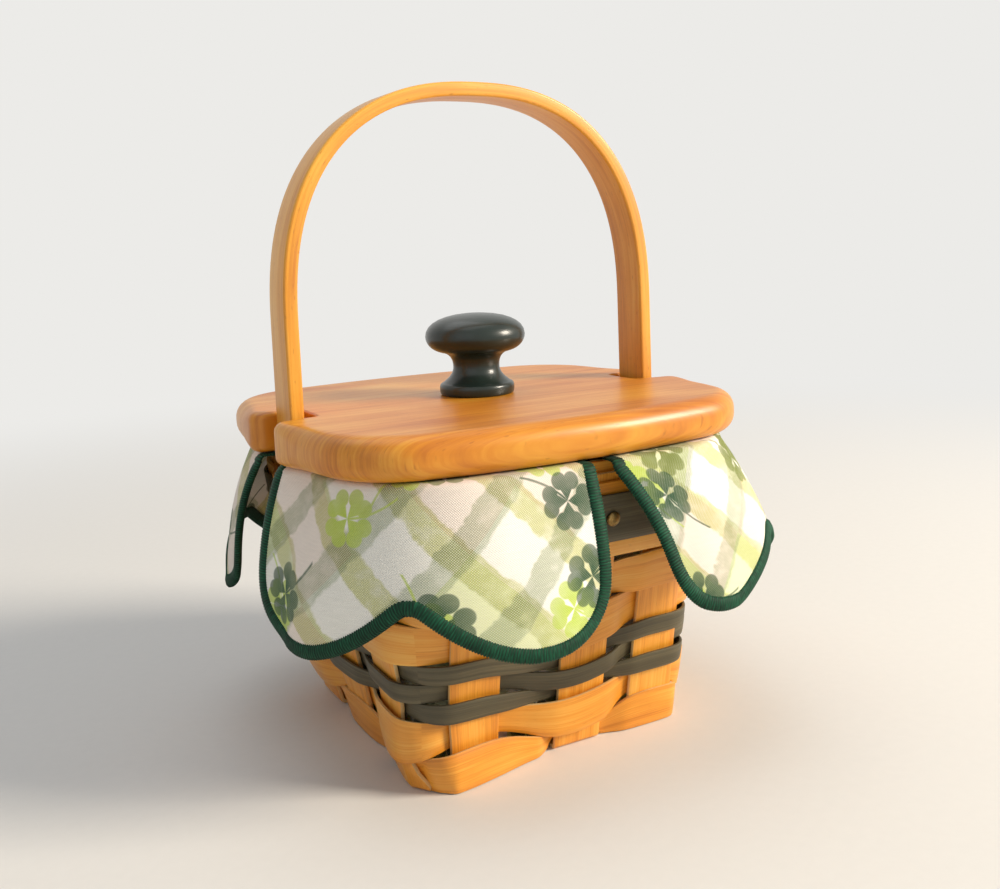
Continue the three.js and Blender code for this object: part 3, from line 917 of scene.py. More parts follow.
@dataclass(frozen=True)
class Handle:
    """One strip of wood, bent into an arch, whose legs go down between the rim bands."""

    material: Material
    width: float = 15.5
    thickness: float = 4.8
    leg_inside: float = 66.56
    leg_foot: float = 68.0
    foot_offset: float = 1.15
    knee: float = 94.0
    knee_run: float = 5.0
    straight_top: float = 142.2
    arch_height: float = 78.3
    roundness: float = 2.41
    ease: float = 0.9
    arch_steps: int = 80

    def line(self) -> list[tuple[float, float]]:
        """Gives the strip's middle line as sideways places and heights, right foot first."""
        middle = self.leg_inside + self.thickness / 2
        foot = WALL.half(self.leg_foot) + self.foot_offset + self.thickness / 2
        rise = self.arch_height - self.thickness / 2
        slope = Vector((foot - middle, self.leg_foot - self.knee)).normalized()
        low = Vector((middle, self.knee)) + slope * self.knee_run
        leg = [(foot, self.leg_foot), (lerp(foot, low.x, 0.5), lerp(self.leg_foot, low.y, 0.5))]
        high = self.knee + self.knee_run
        for i in range(7):
            share = i / 6
            across = lerp(lerp(low.x, middle, share), middle, share)
            up = lerp(lerp(low.y, self.knee, share), lerp(self.knee, high, share), share)
            leg.append((across, up))
        leg += [(middle, lerp(high, self.straight_top, i / 8)) for i in range(1, 9)]
        arch = []
        for i in range(1, self.arch_steps):
            angle = math.pi * i / self.arch_steps
            power = 2 / self.roundness
            across = math.copysign(abs(math.cos(angle)) ** power, math.cos(angle)) * middle
            arch.append((across, self.straight_top + rise * math.sin(angle) ** power))
        return leg + arch + [(-across, up) for across, up in reversed(leg)]

    def ring(self, steps: int = 6) -> list[tuple[float, float]]:
        """Gives the strip's section as places out and across, with rounded corners."""
        half_out, half_across = self.thickness / 2, self.width / 2
        points = []
        for quarter, (out, across) in enumerate(((1, 1), (-1, 1), (-1, -1), (1, -1))):
            for i in range(steps):
                angle = math.pi / 2 * (quarter + i / (steps - 1))
                points.append((out * (half_out - self.ease) + self.ease * math.cos(angle),
                               across * (half_across - self.ease) + self.ease * math.sin(angle)))
        return points

    def build(self) -> None:
        """Builds and dresses the handle."""
        line = self.line()
        ring = self.ring()
        last = len(line) - 1
        runs = running([Vector(spot) for spot in line])
        around = running([Vector(spot) for spot in (*ring, ring[0])])

        def place(u: float, v: float) -> Vector:
            """Gives the point for a share round the section and a share along the strip."""
            i = round(v * last)
            out, across = ring[round(u * len(ring)) % len(ring)]
            (x0, z0), (x1, z1) = line[max(0, i - 1)], line[min(last, i + 1)]
            way = Vector((x1 - x0, z1 - z0)).normalized()
            x, z = line[i]
            return Vector((x + way.y * out, -across, z - way.x * out))

        piece = woven_sheet("bentwood_handle", len(ring), last, place,
                            lambda u, v: (runs[round(v * last)], around[round(u * len(ring))]))
        close_up(piece)
        cap_ends(piece, len(ring))
        smooth_shading(piece, 50)
        dressed(piece, self.material, "basket", "handle")


# Liner


@dataclass(frozen=True)
class Flap:
    """One of the liner's four flaps: its corner, its ends along the fold, and how it hangs."""

    name: str
    corner: float
    half: float
    centre: float
    drawn_end: int
    draw: float
    stand: float
    start: tuple[float, float]
    pull: float = 1.0


@dataclass(frozen=True)
class Liner:
    """The cloth pouch, its four flaps over the rim, and the stitched edging round each flap."""

    cloth: Material
    thread: Material
    drape_thickness: float = 0.9
    fold_offset: float = 6.05
    fold_radius: float = 2.2
    fold_top: float = 98.7
    fold_lift: float = 5.2
    pouch_offset: float = -3.55
    pouch_foot: float = 4.5
    pouch_top: float = 97.4
    pouch_slack: float = 1.6
    floor_round: float = 1.6
    floor_ripple: float = 0.35
    lobe_reach: float = 28.0
    lobe_depth: float = 50.5
    notch_depth: float = 33.5
    shoulder_depth: float = 26.0
    squareness: float = 2.6
    notch_power: float = 1.8
    notch_ease: float = 1.8
    draw_reach: float = 45.0
    waves: tuple[tuple[float, float], ...] = ((1.3, 11.5), (0.8, 5.7))
    edging_width: float = 4.7
    edging_thickness: float = 2.6
    stitch_pitch: float = 0.88
    stitch_swell: tuple[float, ...] = (0.05, 0.025, -0.085)
    stitch_slant: float = 0.3
    edging_girth: float = 10.5
    edging_start: float = -7.0
    side_steps: int = 16
    curve_steps: int = 40
    flaps: tuple[Flap, ...] = (
        Flap("near", -0.5, 59.13, 5.5, 1, 0.0, 9.0, (0.0, 0.0)),
        Flap("right", 0.5, 54.38, -0.75, -1, 12.0, 16.0, (143.0, 61.0), 0.96),
        Flap("far", 1.5, 59.13, 5.5, 1, 6.0, 12.0, (307.0, -40.0)),
        Flap("left", 2.5, 54.38, -0.75, 1, 12.0, 12.0, (451.0, 88.0)),
    )

    @property
    def over(self) -> float:
        """The length of cloth from the pouch over the rim to the fold's outer end."""
        flat = self.fold_offset - self.fold_radius - self.pouch_offset
        return self.fold_radius * math.pi / 2 + flat

    def fold_turn(self, corner: float, run: float) -> float:
        """Gives the turn at a run along the fold line, measured from a corner."""
        round_fold = WALL.top_radius + self.fold_offset
        quarter = round_fold * math.pi / 4
        on_corner = min(abs(run), quarter) * WALL.top_radius / round_fold
        on_face = max(0.0, abs(run) - quarter)
        away = math.copysign(on_corner + on_face, run)
        return corner + away / (2 * WALL.face_half(WALL.rim_top))

    def hang(self, flap: Flap, along: float, down: float, out: float = 0.0) -> Vector:
        """Gives a point on a flap, over the rim, round the fold or on the hanging part.

        Args:
            flap: The flap.
            along: The distance sideways from the middle of its lower edge's notch.
            down: The distance down from the fold's end, which is negative above it.
            out: The distance off the cloth's middle surface.

        Returns:
            The point in millimetres.
        """
        radius = self.fold_radius
        bend = radius * math.pi / 2
        turn = self.fold_turn(flap.corner, flap.centre + along)
        edge = self.fold_offset - radius
        if down <= -bend:
            over = -bend - down
            share = clamp(over / (edge - self.pouch_offset))
            offset = lerp(edge, self.pouch_offset, share)
            point = WALL.point(turn, WALL.rim_top, offset, self.fold_lift * (1 - share))
            point.z = self.fold_top + out
            return point
        if down < 0:
            angle = (down + bend) / radius
            offset = edge + (radius + out) * math.sin(angle)
            point = WALL.point(turn, WALL.rim_top, offset, self.fold_lift)
            point.z = self.fold_top - radius + (radius + out) * math.cos(angle)
            return point
        return self.drape(flap, along, down) + self.normal(flap, along, down) * out

    def drape(self, flap: Flap, along: float, down: float) -> Vector:
        """Gives a point on a flap's hanging part, with the soft waves of the cloth."""
        swing = 1 - (1 - min(1.0, down / self.lobe_depth)) ** 2
        near_end = smooth(flap.drawn_end * along, flap.half - self.draw_reach, flap.half)
        drawn = along - flap.drawn_end * flap.draw * swing * near_end
        (broad, length), (fine, short) = self.waves
        wave = broad * math.sin(along / length + flap.corner * 3)
        wave += fine * math.sin(along / short + 1.3)
        stand = flap.stand * swing + wave * swing * smooth(down, 6, 40)
        turn = self.fold_turn(flap.corner, flap.centre + drawn)
        point = WALL.point(turn, WALL.rim_top, self.fold_offset + stand, self.fold_lift)
        drop = flap.pull * math.cos(math.atan(flap.stand / self.lobe_depth))
        point.z = self.fold_top - self.fold_radius - down * drop
        return point

    def normal(self, flap: Flap, along: float, down: float) -> Vector:
        """Gives the outward direction of a flap's hanging part."""
        step = 0.5
        sideways = self.drape(flap, along + step, down) - self.drape(flap, along - step, down)
        downwards = self.drape(flap, along, down + step) - self.drape(flap, along, down - step)
        return -sideways.cross(downwards).normalized()

    def notch(self, along: float, middle: float, inset: float) -> float:
        """Gives the depth of the notch between a flap's lobes.

        Args:
            along: The distance sideways from the notch's middle.
            middle: The distance of the lobes' middles.
            inset: The distance in from the edge.

        Returns:
            The depth in millimetres.
        """
        rise = self.lobe_depth - self.notch_depth
        rounded = math.hypot(along, self.notch_ease)
        span = math.hypot(middle, self.notch_ease) - self.notch_ease
        share = max(0.0, 1 - (rounded - self.notch_ease) / span)
        slope = rise * self.notch_power * share ** (self.notch_power - 1) * along / rounded / span
        depth = self.notch_depth + rise * (1 - share ** self.notch_power)
        return depth - inset * math.hypot(1, slope)

    def outline(self, flap: Flap, inset: float) -> list[tuple[float, float]]:
        """Gives a flap's edge from its upper right end round to its upper left one.

        Args:
            flap: The flap.
            inset: The distance in from the edge.

        Returns:
            The places along and down.
        """
        middle = flap.half - self.lobe_reach
        width = self.lobe_reach - inset
        drop = self.lobe_depth - inset - self.shoulder_depth
        power = 2 / self.squareness
        side = []
        for i in range(self.side_steps):
            down = lerp(self.edging_start, self.shoulder_depth, i / self.side_steps)
            side.append((flap.half - inset, down))
        for i in range(self.curve_steps):
            angle = math.pi / 2 * i / self.curve_steps
            side.append((middle + width * math.cos(angle) ** power,
                         self.shoulder_depth + drop * math.sin(angle) ** power))
        for i in range(self.curve_steps, 0, -1):
            along = middle * (i / self.curve_steps) ** 1.3
            side.append((along, self.notch(along, middle, inset)))
        mirrored = [(-along, down) for along, down in reversed(side)]
        return side + [(0.0, self.notch(0.0, middle, inset))] + mirrored

    def depth_at(self, flap: Flap, along: float, inset: float) -> float:
        """Gives how far down a flap's cloth reaches at a place along it."""
        middle = flap.half - self.lobe_reach
        away = abs(along)
        if away <= middle:
            return self.notch(away, middle, inset)
        share = min(1.0, (away - middle) / (self.lobe_reach - inset))
        rise = (1 - share ** self.squareness) ** (1 / self.squareness)
        return self.shoulder_depth + (self.lobe_depth - inset - self.shoulder_depth) * rise

    def flap_cloth(self, flap: Flap) -> Piece:
        """Builds one flap's cloth, from inside the rim over the fold to its scalloped edge."""
        inset = self.edging_width / 2
        half = flap.half - inset
        columns, hanging, over = 96, 22, 8
        rows = hanging + over

        def spot(u: float, v: float) -> tuple[float, float]:
            """Gives the place along and down for two shares."""
            share = 2 * u - 1
            along = half * math.copysign(math.sin(abs(share) * math.pi / 2) ** 0.9, share)
            row = round(v * rows)
            if row <= over:
                return along, lerp(-self.over, 0.0, row / over)
            return along, self.depth_at(flap, along, inset) * (row - over) / hanging

        piece = woven_sheet(
            f"liner_flap_{flap.name}", columns, rows,
            lambda u, v: self.hang(flap, *spot(u, v)),
            lambda u, v: (spot(u, v)[0] + flap.start[0], flap.start[1] - spot(u, v)[1]),
        )
        thicken(piece, self.drape_thickness, 0.0)
        return piece

    def edging(self, flap: Flap) -> Piece:
        """Builds the cord of close stitches along one flap's edge."""
        line = self.outline(flap, self.edging_width / 2)
        points = [self.hang(flap, along, down) for along, down in line]
        runs = running(points)
        stitches = round(runs[-1] / self.stitch_pitch)
        per_stitch = len(self.stitch_swell)
        rings = stitches * per_stitch
        sides = 10
        at = 0
        sections = []
        for i in range(rings + 1):
            run = runs[-1] * i / rings
            while at + 2 < len(runs) and runs[at + 1] < run:
                at += 1
            share = (run - runs[at]) / (runs[at + 1] - runs[at])
            spot = [lerp(line[at][k], line[at + 1][k], share) for k in (0, 1)]
            way = (points[at + 1] - points[at]).normalized()
            centre = self.hang(flap, *spot)
            normal = (self.hang(flap, *spot, 0.5) - centre).normalized()
            sideways = way.cross(normal).normalized()
            swell = 1 + self.stitch_swell[i % per_stitch]
            slant = self.stitch_slant * self.stitch_pitch
            flat = self.edging_thickness / 2 * lerp(0.45, 1.0, smooth(spot[1], -3.5, 3.0))
            sections.append((centre, way * slant, sideways, normal * flat * swell, swell))

        def place(u: float, v: float) -> Vector:
            """Gives the point for a share round the cord and a share along it."""
            centre, slant, sideways, rise, swell = sections[round(v * rings)]
            angle = 2 * math.pi * (round(u * sides) % sides + 0.5) / sides
            broad = abs(math.cos(angle)) ** 0.8
            across = self.edging_width / 2 * swell * math.copysign(broad, math.cos(angle))
            return centre + sideways * across + (rise + slant) * math.sin(angle)

        piece = woven_sheet(f"stitched_edging_{flap.name}", sides, rings, place,
                            lambda u, v: (u * self.edging_girth, v * runs[-1]))
        close_up(piece)
        cap_ends(piece, sides)
        smooth_shading(piece, 70)
        return piece

    def pouch(self) -> Piece:
        """Builds the pouch, a soft bag with a flat floor and slack folds down its sides."""
        steps, walls, floor = 144, 26, 9

        def place(u: float, v: float) -> Vector:
            """Gives the point for a share round and a share from the floor's middle to the rim."""
            turn = hoop_turn(round(u * steps), steps)
            row = round(v * (walls + floor))
            if row <= floor:
                share = row / floor
                edge = WALL.point(turn, self.pouch_foot + 3, self.pouch_offset - 1.2)
                wander = 3 * math.sin(turn * math.pi / 2)
                ripple = self.floor_ripple * math.sin(9 * share + wander)
                height = self.pouch_foot + 0.4 + ripple * share
                return Vector((edge.x * share, edge.y * share, height))
            share = (row - floor) / walls
            height = lerp(self.pouch_foot + self.floor_round, self.pouch_top, share ** 0.9)
            slack = math.sin(math.pi * share)
            pleat = 0.9 * math.sin(turn * 7.1) + 0.6 * math.sin(turn * 12.3 + 2 * share)
            sag = slack * (self.pouch_slack + pleat)
            return WALL.point(turn, height, self.pouch_offset - 0.4 - sag)

        length = WALL.ring_length(60)
        piece = woven_sheet("liner_pouch_cloth", steps, walls + floor, place,
                            lambda u, v: (u * length, 12 + v * 150))
        close_up(piece)
        thicken(piece, self.drape_thickness, 0.0)
        return piece

    def area(self, flap: Flap) -> float:
        """Gives a flap's cut area in square metres."""
        inset = self.edging_width / 2
        steps = 100
        half = flap.half - inset
        depths = [self.depth_at(flap, lerp(-half, half, (i + 0.5) / steps), inset)
                  for i in range(steps)]
        return 2 * half * (sum(depths) / steps + self.over) * MM * MM

    def build(self) -> None:
        pouch = self.pouch()
        dressed(pouch, self.cloth, "basket", "liner_pouch")
        area = 4 * self.pouch_top * 2 * WALL.half(50) + (2 * WALL.foot_half) ** 2
        for flap in self.flaps:
            edging = self.edging(flap)
            dressed(edging, self.thread, "basket", f"edging_{flap.name}")
            piece = self.flap_cloth(flap)
            dressed(piece, self.cloth, "basket", f"flap_{flap.name}")


# Lid, knob and screw


@dataclass(frozen=True)
class Lid:
    """A board with bowed sides, a rounded edge, and an open notch for each handle leg."""

    board: Material
    underside: float = 99.5
    half_length: float = 79.3
    half_width: float = 72.0
    bow: float = 11.5
    corner: float = 30.5
    thickness: float = 13.5
    edge_round: float = 5.8
    mouth_share: float = 0.5
    throat_share: float = 0.42
    inner_share: float = 0.14
    share_run: float = 16.0
    notch_half: float = 9.6
    notch_end: float = 62.26
    mouth_round: float = 5.0
    inner_round: float = 2.5
    hole_radius: float = 2.2
    sink_radius: float = 4.3
    outline_length: float = 480.0
    edge_length: float = 30.0

    @property
    def end_radius(self) -> float:
        """The radius of the bowed ends, which have the notches."""
        return (self.half_width ** 2 + self.bow ** 2) / (2 * self.bow)

    def outline(self) -> list[Vector]:
        """Gives the board's outline from the right end round, anticlockwise."""
        end_radius = self.end_radius
        side_radius = (self.half_length ** 2 + self.bow ** 2) / (2 * self.bow)
        end_centre = Vector((self.half_length - end_radius, 0))
        side_centre = Vector((0, self.half_width - side_radius))
        between = side_centre - end_centre
        span = between.length
        end_reach, side_reach = end_radius - self.corner, side_radius - self.corner
        foot = (end_reach ** 2 - side_reach ** 2 + span ** 2) / (2 * span)
        height = math.sqrt(end_reach ** 2 - foot ** 2)
        unit = between / span
        centre = end_centre + unit * foot + Vector((-unit.y, unit.x)) * height
        low = math.atan2(centre.y - end_centre.y, centre.x - end_centre.x)
        high = math.atan2(centre.y - side_centre.y, centre.x - side_centre.x)
        quarter = []
        arcs = (
            (end_centre, end_radius, 0.0, low, 10),
            (centre, self.corner, low, high, 16),
            (side_centre, side_radius, high, math.pi / 2, 14),
        )
        for middle, radius, start, stop, steps in arcs:
            for i in range(steps):
                angle = lerp(start, stop, i / steps)
                quarter.append(middle + radius * Vector((math.cos(angle), math.sin(angle))))
        quarter.append(Vector((0, self.half_width)))
        left = [Vector((-p.x, p.y)) for p in reversed(quarter[:-1])]
        upper = quarter + left
        return upper + [Vector((p.x, -p.y)) for p in reversed(upper[1:-1])]

    def notched(self) -> list[tuple[Vector, float]]:
        """Gives the outline with its notches, and each point's share of the full rounding."""
        low, high = self.notch_half, self.notch_half + self.mouth_round
        half = [p for p in self.outline() if p.y > high + 0.3]
        mouth = self.half_length - self.mouth_round - high ** 2 / (2 * self.end_radius)
        steps, inner_steps = 8, 5
        side = []
        for i in range(steps + 1):
            angle = math.pi / 2 * (steps - i) / steps
            spot = Vector((mouth + self.mouth_round * math.sin(angle),
                           low + self.mouth_round * (1 - math.cos(angle))))
            side.append((spot, lerp(self.mouth_share, self.throat_share, i / steps)))
        run = self.notch_end + self.inner_round
        for i in range(1, steps + 1):
            share = lerp(self.throat_share, self.inner_share, smooth(i, 0, steps))
            side.append((Vector((lerp(mouth, run, i / steps), low)), share))
        for i in range(1, inner_steps + 1):
            angle = math.pi / 2 * i / inner_steps
            spot = Vector((run - self.inner_round * math.sin(angle),
                           low - self.inner_round * (1 - math.cos(angle))))
            side.append((spot, self.inner_share))
        right = [(p, lerp(self.mouth_share, 1.0, smooth(p.y, high, high + self.share_run)))
                 for p in half]
        upper = [(Vector((p.x, p.y)), w) for p, w in reversed(side)] + right
        upper += [(Vector((-p.x, p.y)), w) for p, w in side]
        return upper + [(-p, w) for p, w in upper]

    def rings(self) -> tuple[list[tuple[Vector, Vector, float]], list[tuple[float, float]]]:
        """Gives the outline's points with their inward ways, and the edge's rounded profile."""
        points = self.notched()
        count = len(points)
        ring = []
        for i, (point, share) in enumerate(points):
            way = (points[(i + 1) % count][0] - points[i - 1][0]).normalized()
            ring.append((point, Vector((-way.y, way.x)), share))
        # The first step is level, so that the faces stay flat up to the rounding.
        profile = [(1.1, 0.0)]
        for i in range(9):
            angle = math.pi / 2 * i / 8
            profile.append((1 - math.sin(angle), 1 - math.cos(angle)))
        return ring, profile

    def screw_cutter(self) -> Piece:
        """Builds what cuts the screw's hole and its recess."""
        wide, narrow = self.sink_radius, self.hole_radius
        piece = turned("screw_cutter", (
            (0.0, -1.0), (wide, -1.0), (wide, 0.9), (narrow, 0.9 + wide - narrow),
            (narrow, self.thickness + 2), (0.0, self.thickness + 2),
        ), self.underside, 32)
        # Turned a little, so that none of its corners lies on the board's middle lines.
        piece.data.transform(Matrix.Rotation(0.05, 4, "Z"))
        return piece

    def build(self) -> None:
        """Builds and dresses the board."""
        ring, profile = self.rings()
        around, last = len(ring), 2 * len(profile) - 1

        def place(u: float, v: float) -> Vector:
            """Gives the point for a share round the outline and a share up the edge."""
            point, inward, share = ring[round(u * around) % around]
            level = round(v * last)
            inset, rise = profile[min(level, last - level)]
            reach = self.edge_round * share
            height = rise * reach if level < len(profile) else self.thickness - rise * reach
            spot = point + inward * inset * reach
            return Vector((spot.x, spot.y, self.underside + height))

        piece = woven_sheet("lid_board", around, last, place,
                            lambda u, v: (u * self.outline_length, v * self.edge_length))
        close_up(piece)
        cap_ends(piece, around)
        tool = self.screw_cutter()
        finish_with(piece, "BOOLEAN", {
            "operation": "DIFFERENCE", "object": tool, "solver": "EXACT",
        })
        bpy.data.objects.remove(tool)
        smooth_shading(piece, 32)
        # The two big faces are shaded flat, so that no shade runs over them from the rounding.
        for face in piece.data.polygons:
            if len(face.vertices) > 20:
                face.use_smooth = False
        dressed(piece, self.board, "lid", "lid")


@dataclass(frozen=True)
class Knob:
    """A turned and painted knob, and the countersunk screw that holds it from below."""

    paint: Material
    brass: Material
    foot_height: float = 113.04
    height: float = 28.6
    cap_radius: float = 17.65
    foot_radius: float = 13.26
    waist_radius: float = 8.2
    bore_radius: float = 2.2
    bore_depth: float = 12.6
    curve_steps: int = 8
    lid_underside: float = 99.5
    screw: tuple[tuple[float, float], ...] = (
        (0.0, 0.9), (0.9, 0.9), (0.9, 0.6), (3.6, 0.6), (4.0, 0.75), (3.9, 1.0),
        (1.9, 2.7), (1.9, 25.4), (1.5, 25.8), (0.0, 25.8),
    )

    def outline(self) -> list[tuple[float, float]]:
        """Gives the outline from the foot's rim to the top, as radii and heights."""
        foot, waist, cap = self.foot_radius, self.waist_radius, self.cap_radius
        start = (foot - 0.7, 0.0)
        curves = (
            ((foot - 0.2, 0.2), (foot, 1.0), (foot, 2.4)),
            ((foot, 3.4), (foot - 0.4, 4.0), (foot - 1.2, 4.2)),
            ((waist + 1.4, 6.0), (waist, 7.6), (waist, 9.9)),
            ((waist, 12.6), (waist + 1, 14.6), (waist + 4.4, 15.2)),
            ((cap - 2, 16.0), (cap, 18.2), (cap, 20.8)),
            ((cap, 25.6), (cap * 0.62, self.height), (0.0, self.height)),
        )
        points = [start]
        for b, c, d in curves:
            a = points[-1]
            for i in range(1, self.curve_steps + 1):
                t = i / self.curve_steps
                weights = ((1 - t) ** 3, 3 * t * (1 - t) ** 2, 3 * t * t * (1 - t), t ** 3)
                points.append(tuple(
                    sum(w * p[k] for w, p in zip(weights, (a, b, c, d))) for k in (0, 1)))
        return points

    def build(self) -> None:
        """Builds and dresses the knob and the screw."""
        depth, radius = self.bore_depth, self.bore_radius
        bore = [(0.0, depth), (radius, depth), (radius, 0.0)]
        piece = turned("turned_knob", bore + self.outline(), self.foot_height, 72)
        dressed(piece, self.paint, "lid", "knob")
        screw = turned("knob_fixing_screw", self.screw, self.lid_underside, 32)
        dressed(screw, self.brass, "lid", "knob_screw")


# Finishes


def linear(code: str) -> tuple[float, float, float, float]:
    """Turns an sRGB hex value into a linear colour."""
    values = [int(code[i:i + 2], 16) / 255 for i in (1, 3, 5)]
    return (*[v / 12.92 if v <= 0.04045 else ((v + 0.055) / 1.055) ** 2.4 for v in values], 1.0)


def feed(node: Node, inputs: Sequence[Any] | dict[str, Any]) -> None:
    """Sets inputs of a node, or links into them.

    Args:
        node: The node.
        inputs: What goes into its inputs in use, in their order, or into inputs by name. A node
            stands for its first output in use.
    """
    if isinstance(inputs, dict):
        pairs = [(node.inputs[name], value) for name, value in inputs.items()]
    else:
        pairs = list(zip([socket for socket in node.inputs if socket.enabled], inputs))
    for socket, value in pairs:
        if isinstance(value, Node):
            value = next(output for output in value.outputs if output.enabled)
        if isinstance(value, Socket):
            node.id_data.links.new(value, socket)
        else:
            socket.default_value = value


def add(tree: Tree, kind: str, inputs: Sequence[Any] | dict[str, Any] = (),
        **settings: Any) -> Node:
    """Adds a node.

    Args:
        tree: The material's node tree.
        kind: The node's type, without its first words.
        inputs: What goes into its inputs, as `feed` takes it.
        settings: The node's own settings.

    Returns:
        The node.
    """
    node = tree.nodes.new("ShaderNode" + kind)
    for key, value in settings.items():
        setattr(node, key, value)
    feed(node, inputs)
    return node


def colour_stops(node: Node, *stops: tuple[float, str]) -> None:
    """Gives a colour ramp its stops, as places and sRGB hex values."""
    elements = node.color_ramp.elements
    for place, _ in stops[1:-1]:
        elements.new(place)
    for element, (place, code) in zip(elements, stops):
        element.position, element.color = place, linear(code)


def start(name: str, shader: dict[str, Any]) -> tuple[Material, Tree, Node]:
    """Starts a material.

    Args:
        name: The material's name.
        shader: The values that are the same all over the surface.

    Returns:
        The material, its tree and its shader node.
    """
    material = bpy.data.materials.new(name)
    material.use_nodes = True
    tree = material.node_tree
    body = tree.nodes["Principled BSDF"]
    feed(body, shader)
    return material, tree, body


class Way(Enum):
    """What a grain follows: the strip as it lies unrolled, or the board's length."""

    UNROLLED = "unrolled"
    BOARD = "board"


@dataclass(frozen=True)
class VarnishedWood:
    """Maple, split or sawn, stained and varnished: long fine fibres, soft bands of darker growth,
    short dark pores, and a satin film of varnish that catches the light."""

    name: str
    dark: str
    middle: str
    light: str
    pore: str
    way: Way
    fibre: float = 0.55
    fibre_length: float = 34.0
    figure: float = 4.5
    figure_length: float = 90.0
    figure_share: float = 0.55
    cloud_share: float = 0.3
    pore_share: float = 0.35
    pore_length: float = 3.4
    pore_width: float = 0.5
    roughness: float = 0.42
    coat: float = 0.25
    coat_roughness: float = 0.3

    def build(self) -> Material:
        """Builds the material."""
        material, tree, body = start(self.name, {
            "Coat Weight": self.coat,
            "Coat Roughness": self.coat_roughness,
            "IOR": 1.5,
        })
        # The grain's scale is in features to the metre.
        if self.way is Way.BOARD:
            source = add(tree, "TexCoord").outputs["Object"]
            depth = 1000 / self.figure / 2
        else:
            source = add(tree, "UVMap", uv_map="UVMap")
            depth = 1.0
        # Fibres are about 0.1 mm wide, and are drawn coarser, so that they show.
        fibre_place = add(tree, "Mapping", {
            "Vector": source, "Scale": (1000 / self.fibre_length, 1000 / self.fibre, depth),
        })
        fibre = add(tree, "TexNoise", {
            "Vector": fibre_place, "Scale": 1.0, "Detail": 3.0, "Roughness": 0.6,
            "Distortion": 0.25,
        })
        figure_place = add(tree, "Mapping", {
            "Vector": source, "Location": (3.1, 7.7, 1.3),
            "Scale": (1000 / self.figure_length, 1000 / self.figure, depth),
        })
        figure = add(tree, "TexNoise", {
            "Vector": figure_place, "Scale": 1.0, "Detail": 4.0, "Roughness": 0.55,
            "Distortion": 0.6,
        })
        cloud_place = add(tree, "Mapping", {"Vector": source, "Scale": (22.0, 30.0, 30.0)})
        cloud = add(tree, "TexNoise", {"Vector": cloud_place, "Scale": 1.0, "Detail": 2.0})
        mixed = add(tree, "Mix", [self.figure_share, fibre, figure], data_type="FLOAT")
        clouded = add(tree, "Mix", [self.cloud_share, mixed, cloud], data_type="FLOAT")
        tone = add(tree, "ValToRGB", [clouded])
        colour_stops(tone, (0.36, self.dark), (0.5, self.middle), (0.66, self.light))
        pore_place = add(tree, "Mapping", {
            "Vector": source, "Scale": (1000 / self.pore_length, 1000 / self.pore_width, depth * 3),
        })
        pores = add(tree, "TexNoise", {"Vector": pore_place, "Scale": 1.0, "Detail": 1.0})
        pore_mask = add(tree, "MapRange", [pores, 0.66, 0.76, 0.0, self.pore_share])
        colour = add(tree, "Mix", [pore_mask, tone, linear(self.pore)], data_type="RGBA")
        gloss = add(tree, "MapRange", [
            clouded, 0.3, 0.7, self.roughness + 0.08, self.roughness - 0.06,
        ])
        relief = add(tree, "Math", [mixed, pore_mask], operation="SUBTRACT")
        bump_node = add(tree, "Bump", {"Strength": 0.35, "Distance": 0.12 * MM, "Height": relief})
        feed(body, {"Base Color": colour, "Roughness": gloss, "Normal": bump_node})
        return material


@dataclass(frozen=True)
class PaintedWood:
    """A turned hardwood knob under dark green enamel: a deep gloss, slightly cloudy, with the
    faint turning rings of the wood under it."""

    name: str = "dark_green_enamel_on_turned_beech"
    deep: str = "#141c19"
    high: str = "#25332e"

    def build(self) -> Material:
        """Builds the material."""
        material, tree, body = start(self.name, {
            "Coat Weight": 0.35, "Coat Roughness": 0.2, "Specular IOR Level": 0.3,
        })
        source = add(tree, "TexCoord").outputs["Object"]
        cloud = add(tree, "TexNoise", {
            "Vector": source, "Scale": 130.0, "Detail": 5.0, "Roughness": 0.6,
        })
        colour = add(tree, "Mix", [cloud, linear(self.deep), linear(self.high)], data_type="RGBA")
        gloss = add(tree, "MapRange", [cloud, 0.3, 0.7, 0.3, 0.4])
        # Turning rings are about 0.75 mm apart.
        rings = add(tree, "TexWave", {
            "Vector": source, "Scale": 420.0, "Distortion": 0.6, "Detail": 2.0,
        }, wave_type="BANDS", bands_direction="Z")
        bump_node = add(tree, "Bump", {
            "Strength": 0.12, "Distance": 0.05 * MM, "Height": rings.outputs["Fac"],
        })
        feed(body, {"Base Color": colour, "Roughness": gloss, "Normal": bump_node})
        return material


@dataclass(frozen=True)
class AgedBrass:
    """Stamped brass heads gone dull: warm metal with brown, slightly raised spots."""

    name: str = "aged_stamped_brass"
    bright: str = "#a98b56"
    dull: str = "#64502e"

    def build(self) -> Material:
        """Builds the material."""
        material, tree, body = start(self.name, {"Metallic": 1.0})
        source = add(tree, "TexCoord").outputs["Object"]
        spots = add(tree, "TexNoise", {
            "Vector": source, "Scale": 620.0, "Detail": 4.0, "Roughness": 0.65,
        })
        mask = add(tree, "MapRange", [spots, 0.4, 0.68, 0.0, 1.0])
        colour = add(tree, "Mix", [mask, linear(self.bright), linear(self.dull)], data_type="RGBA")
        gloss = add(tree, "MapRange", [spots, 0.3, 0.7, 0.28, 0.5])
        bump_node = add(tree, "Bump", {"Strength": 0.2, "Distance": 0.05 * MM, "Height": spots})
        feed(body, {"Base Color": colour, "Roughness": gloss, "Normal": bump_node})
        return material


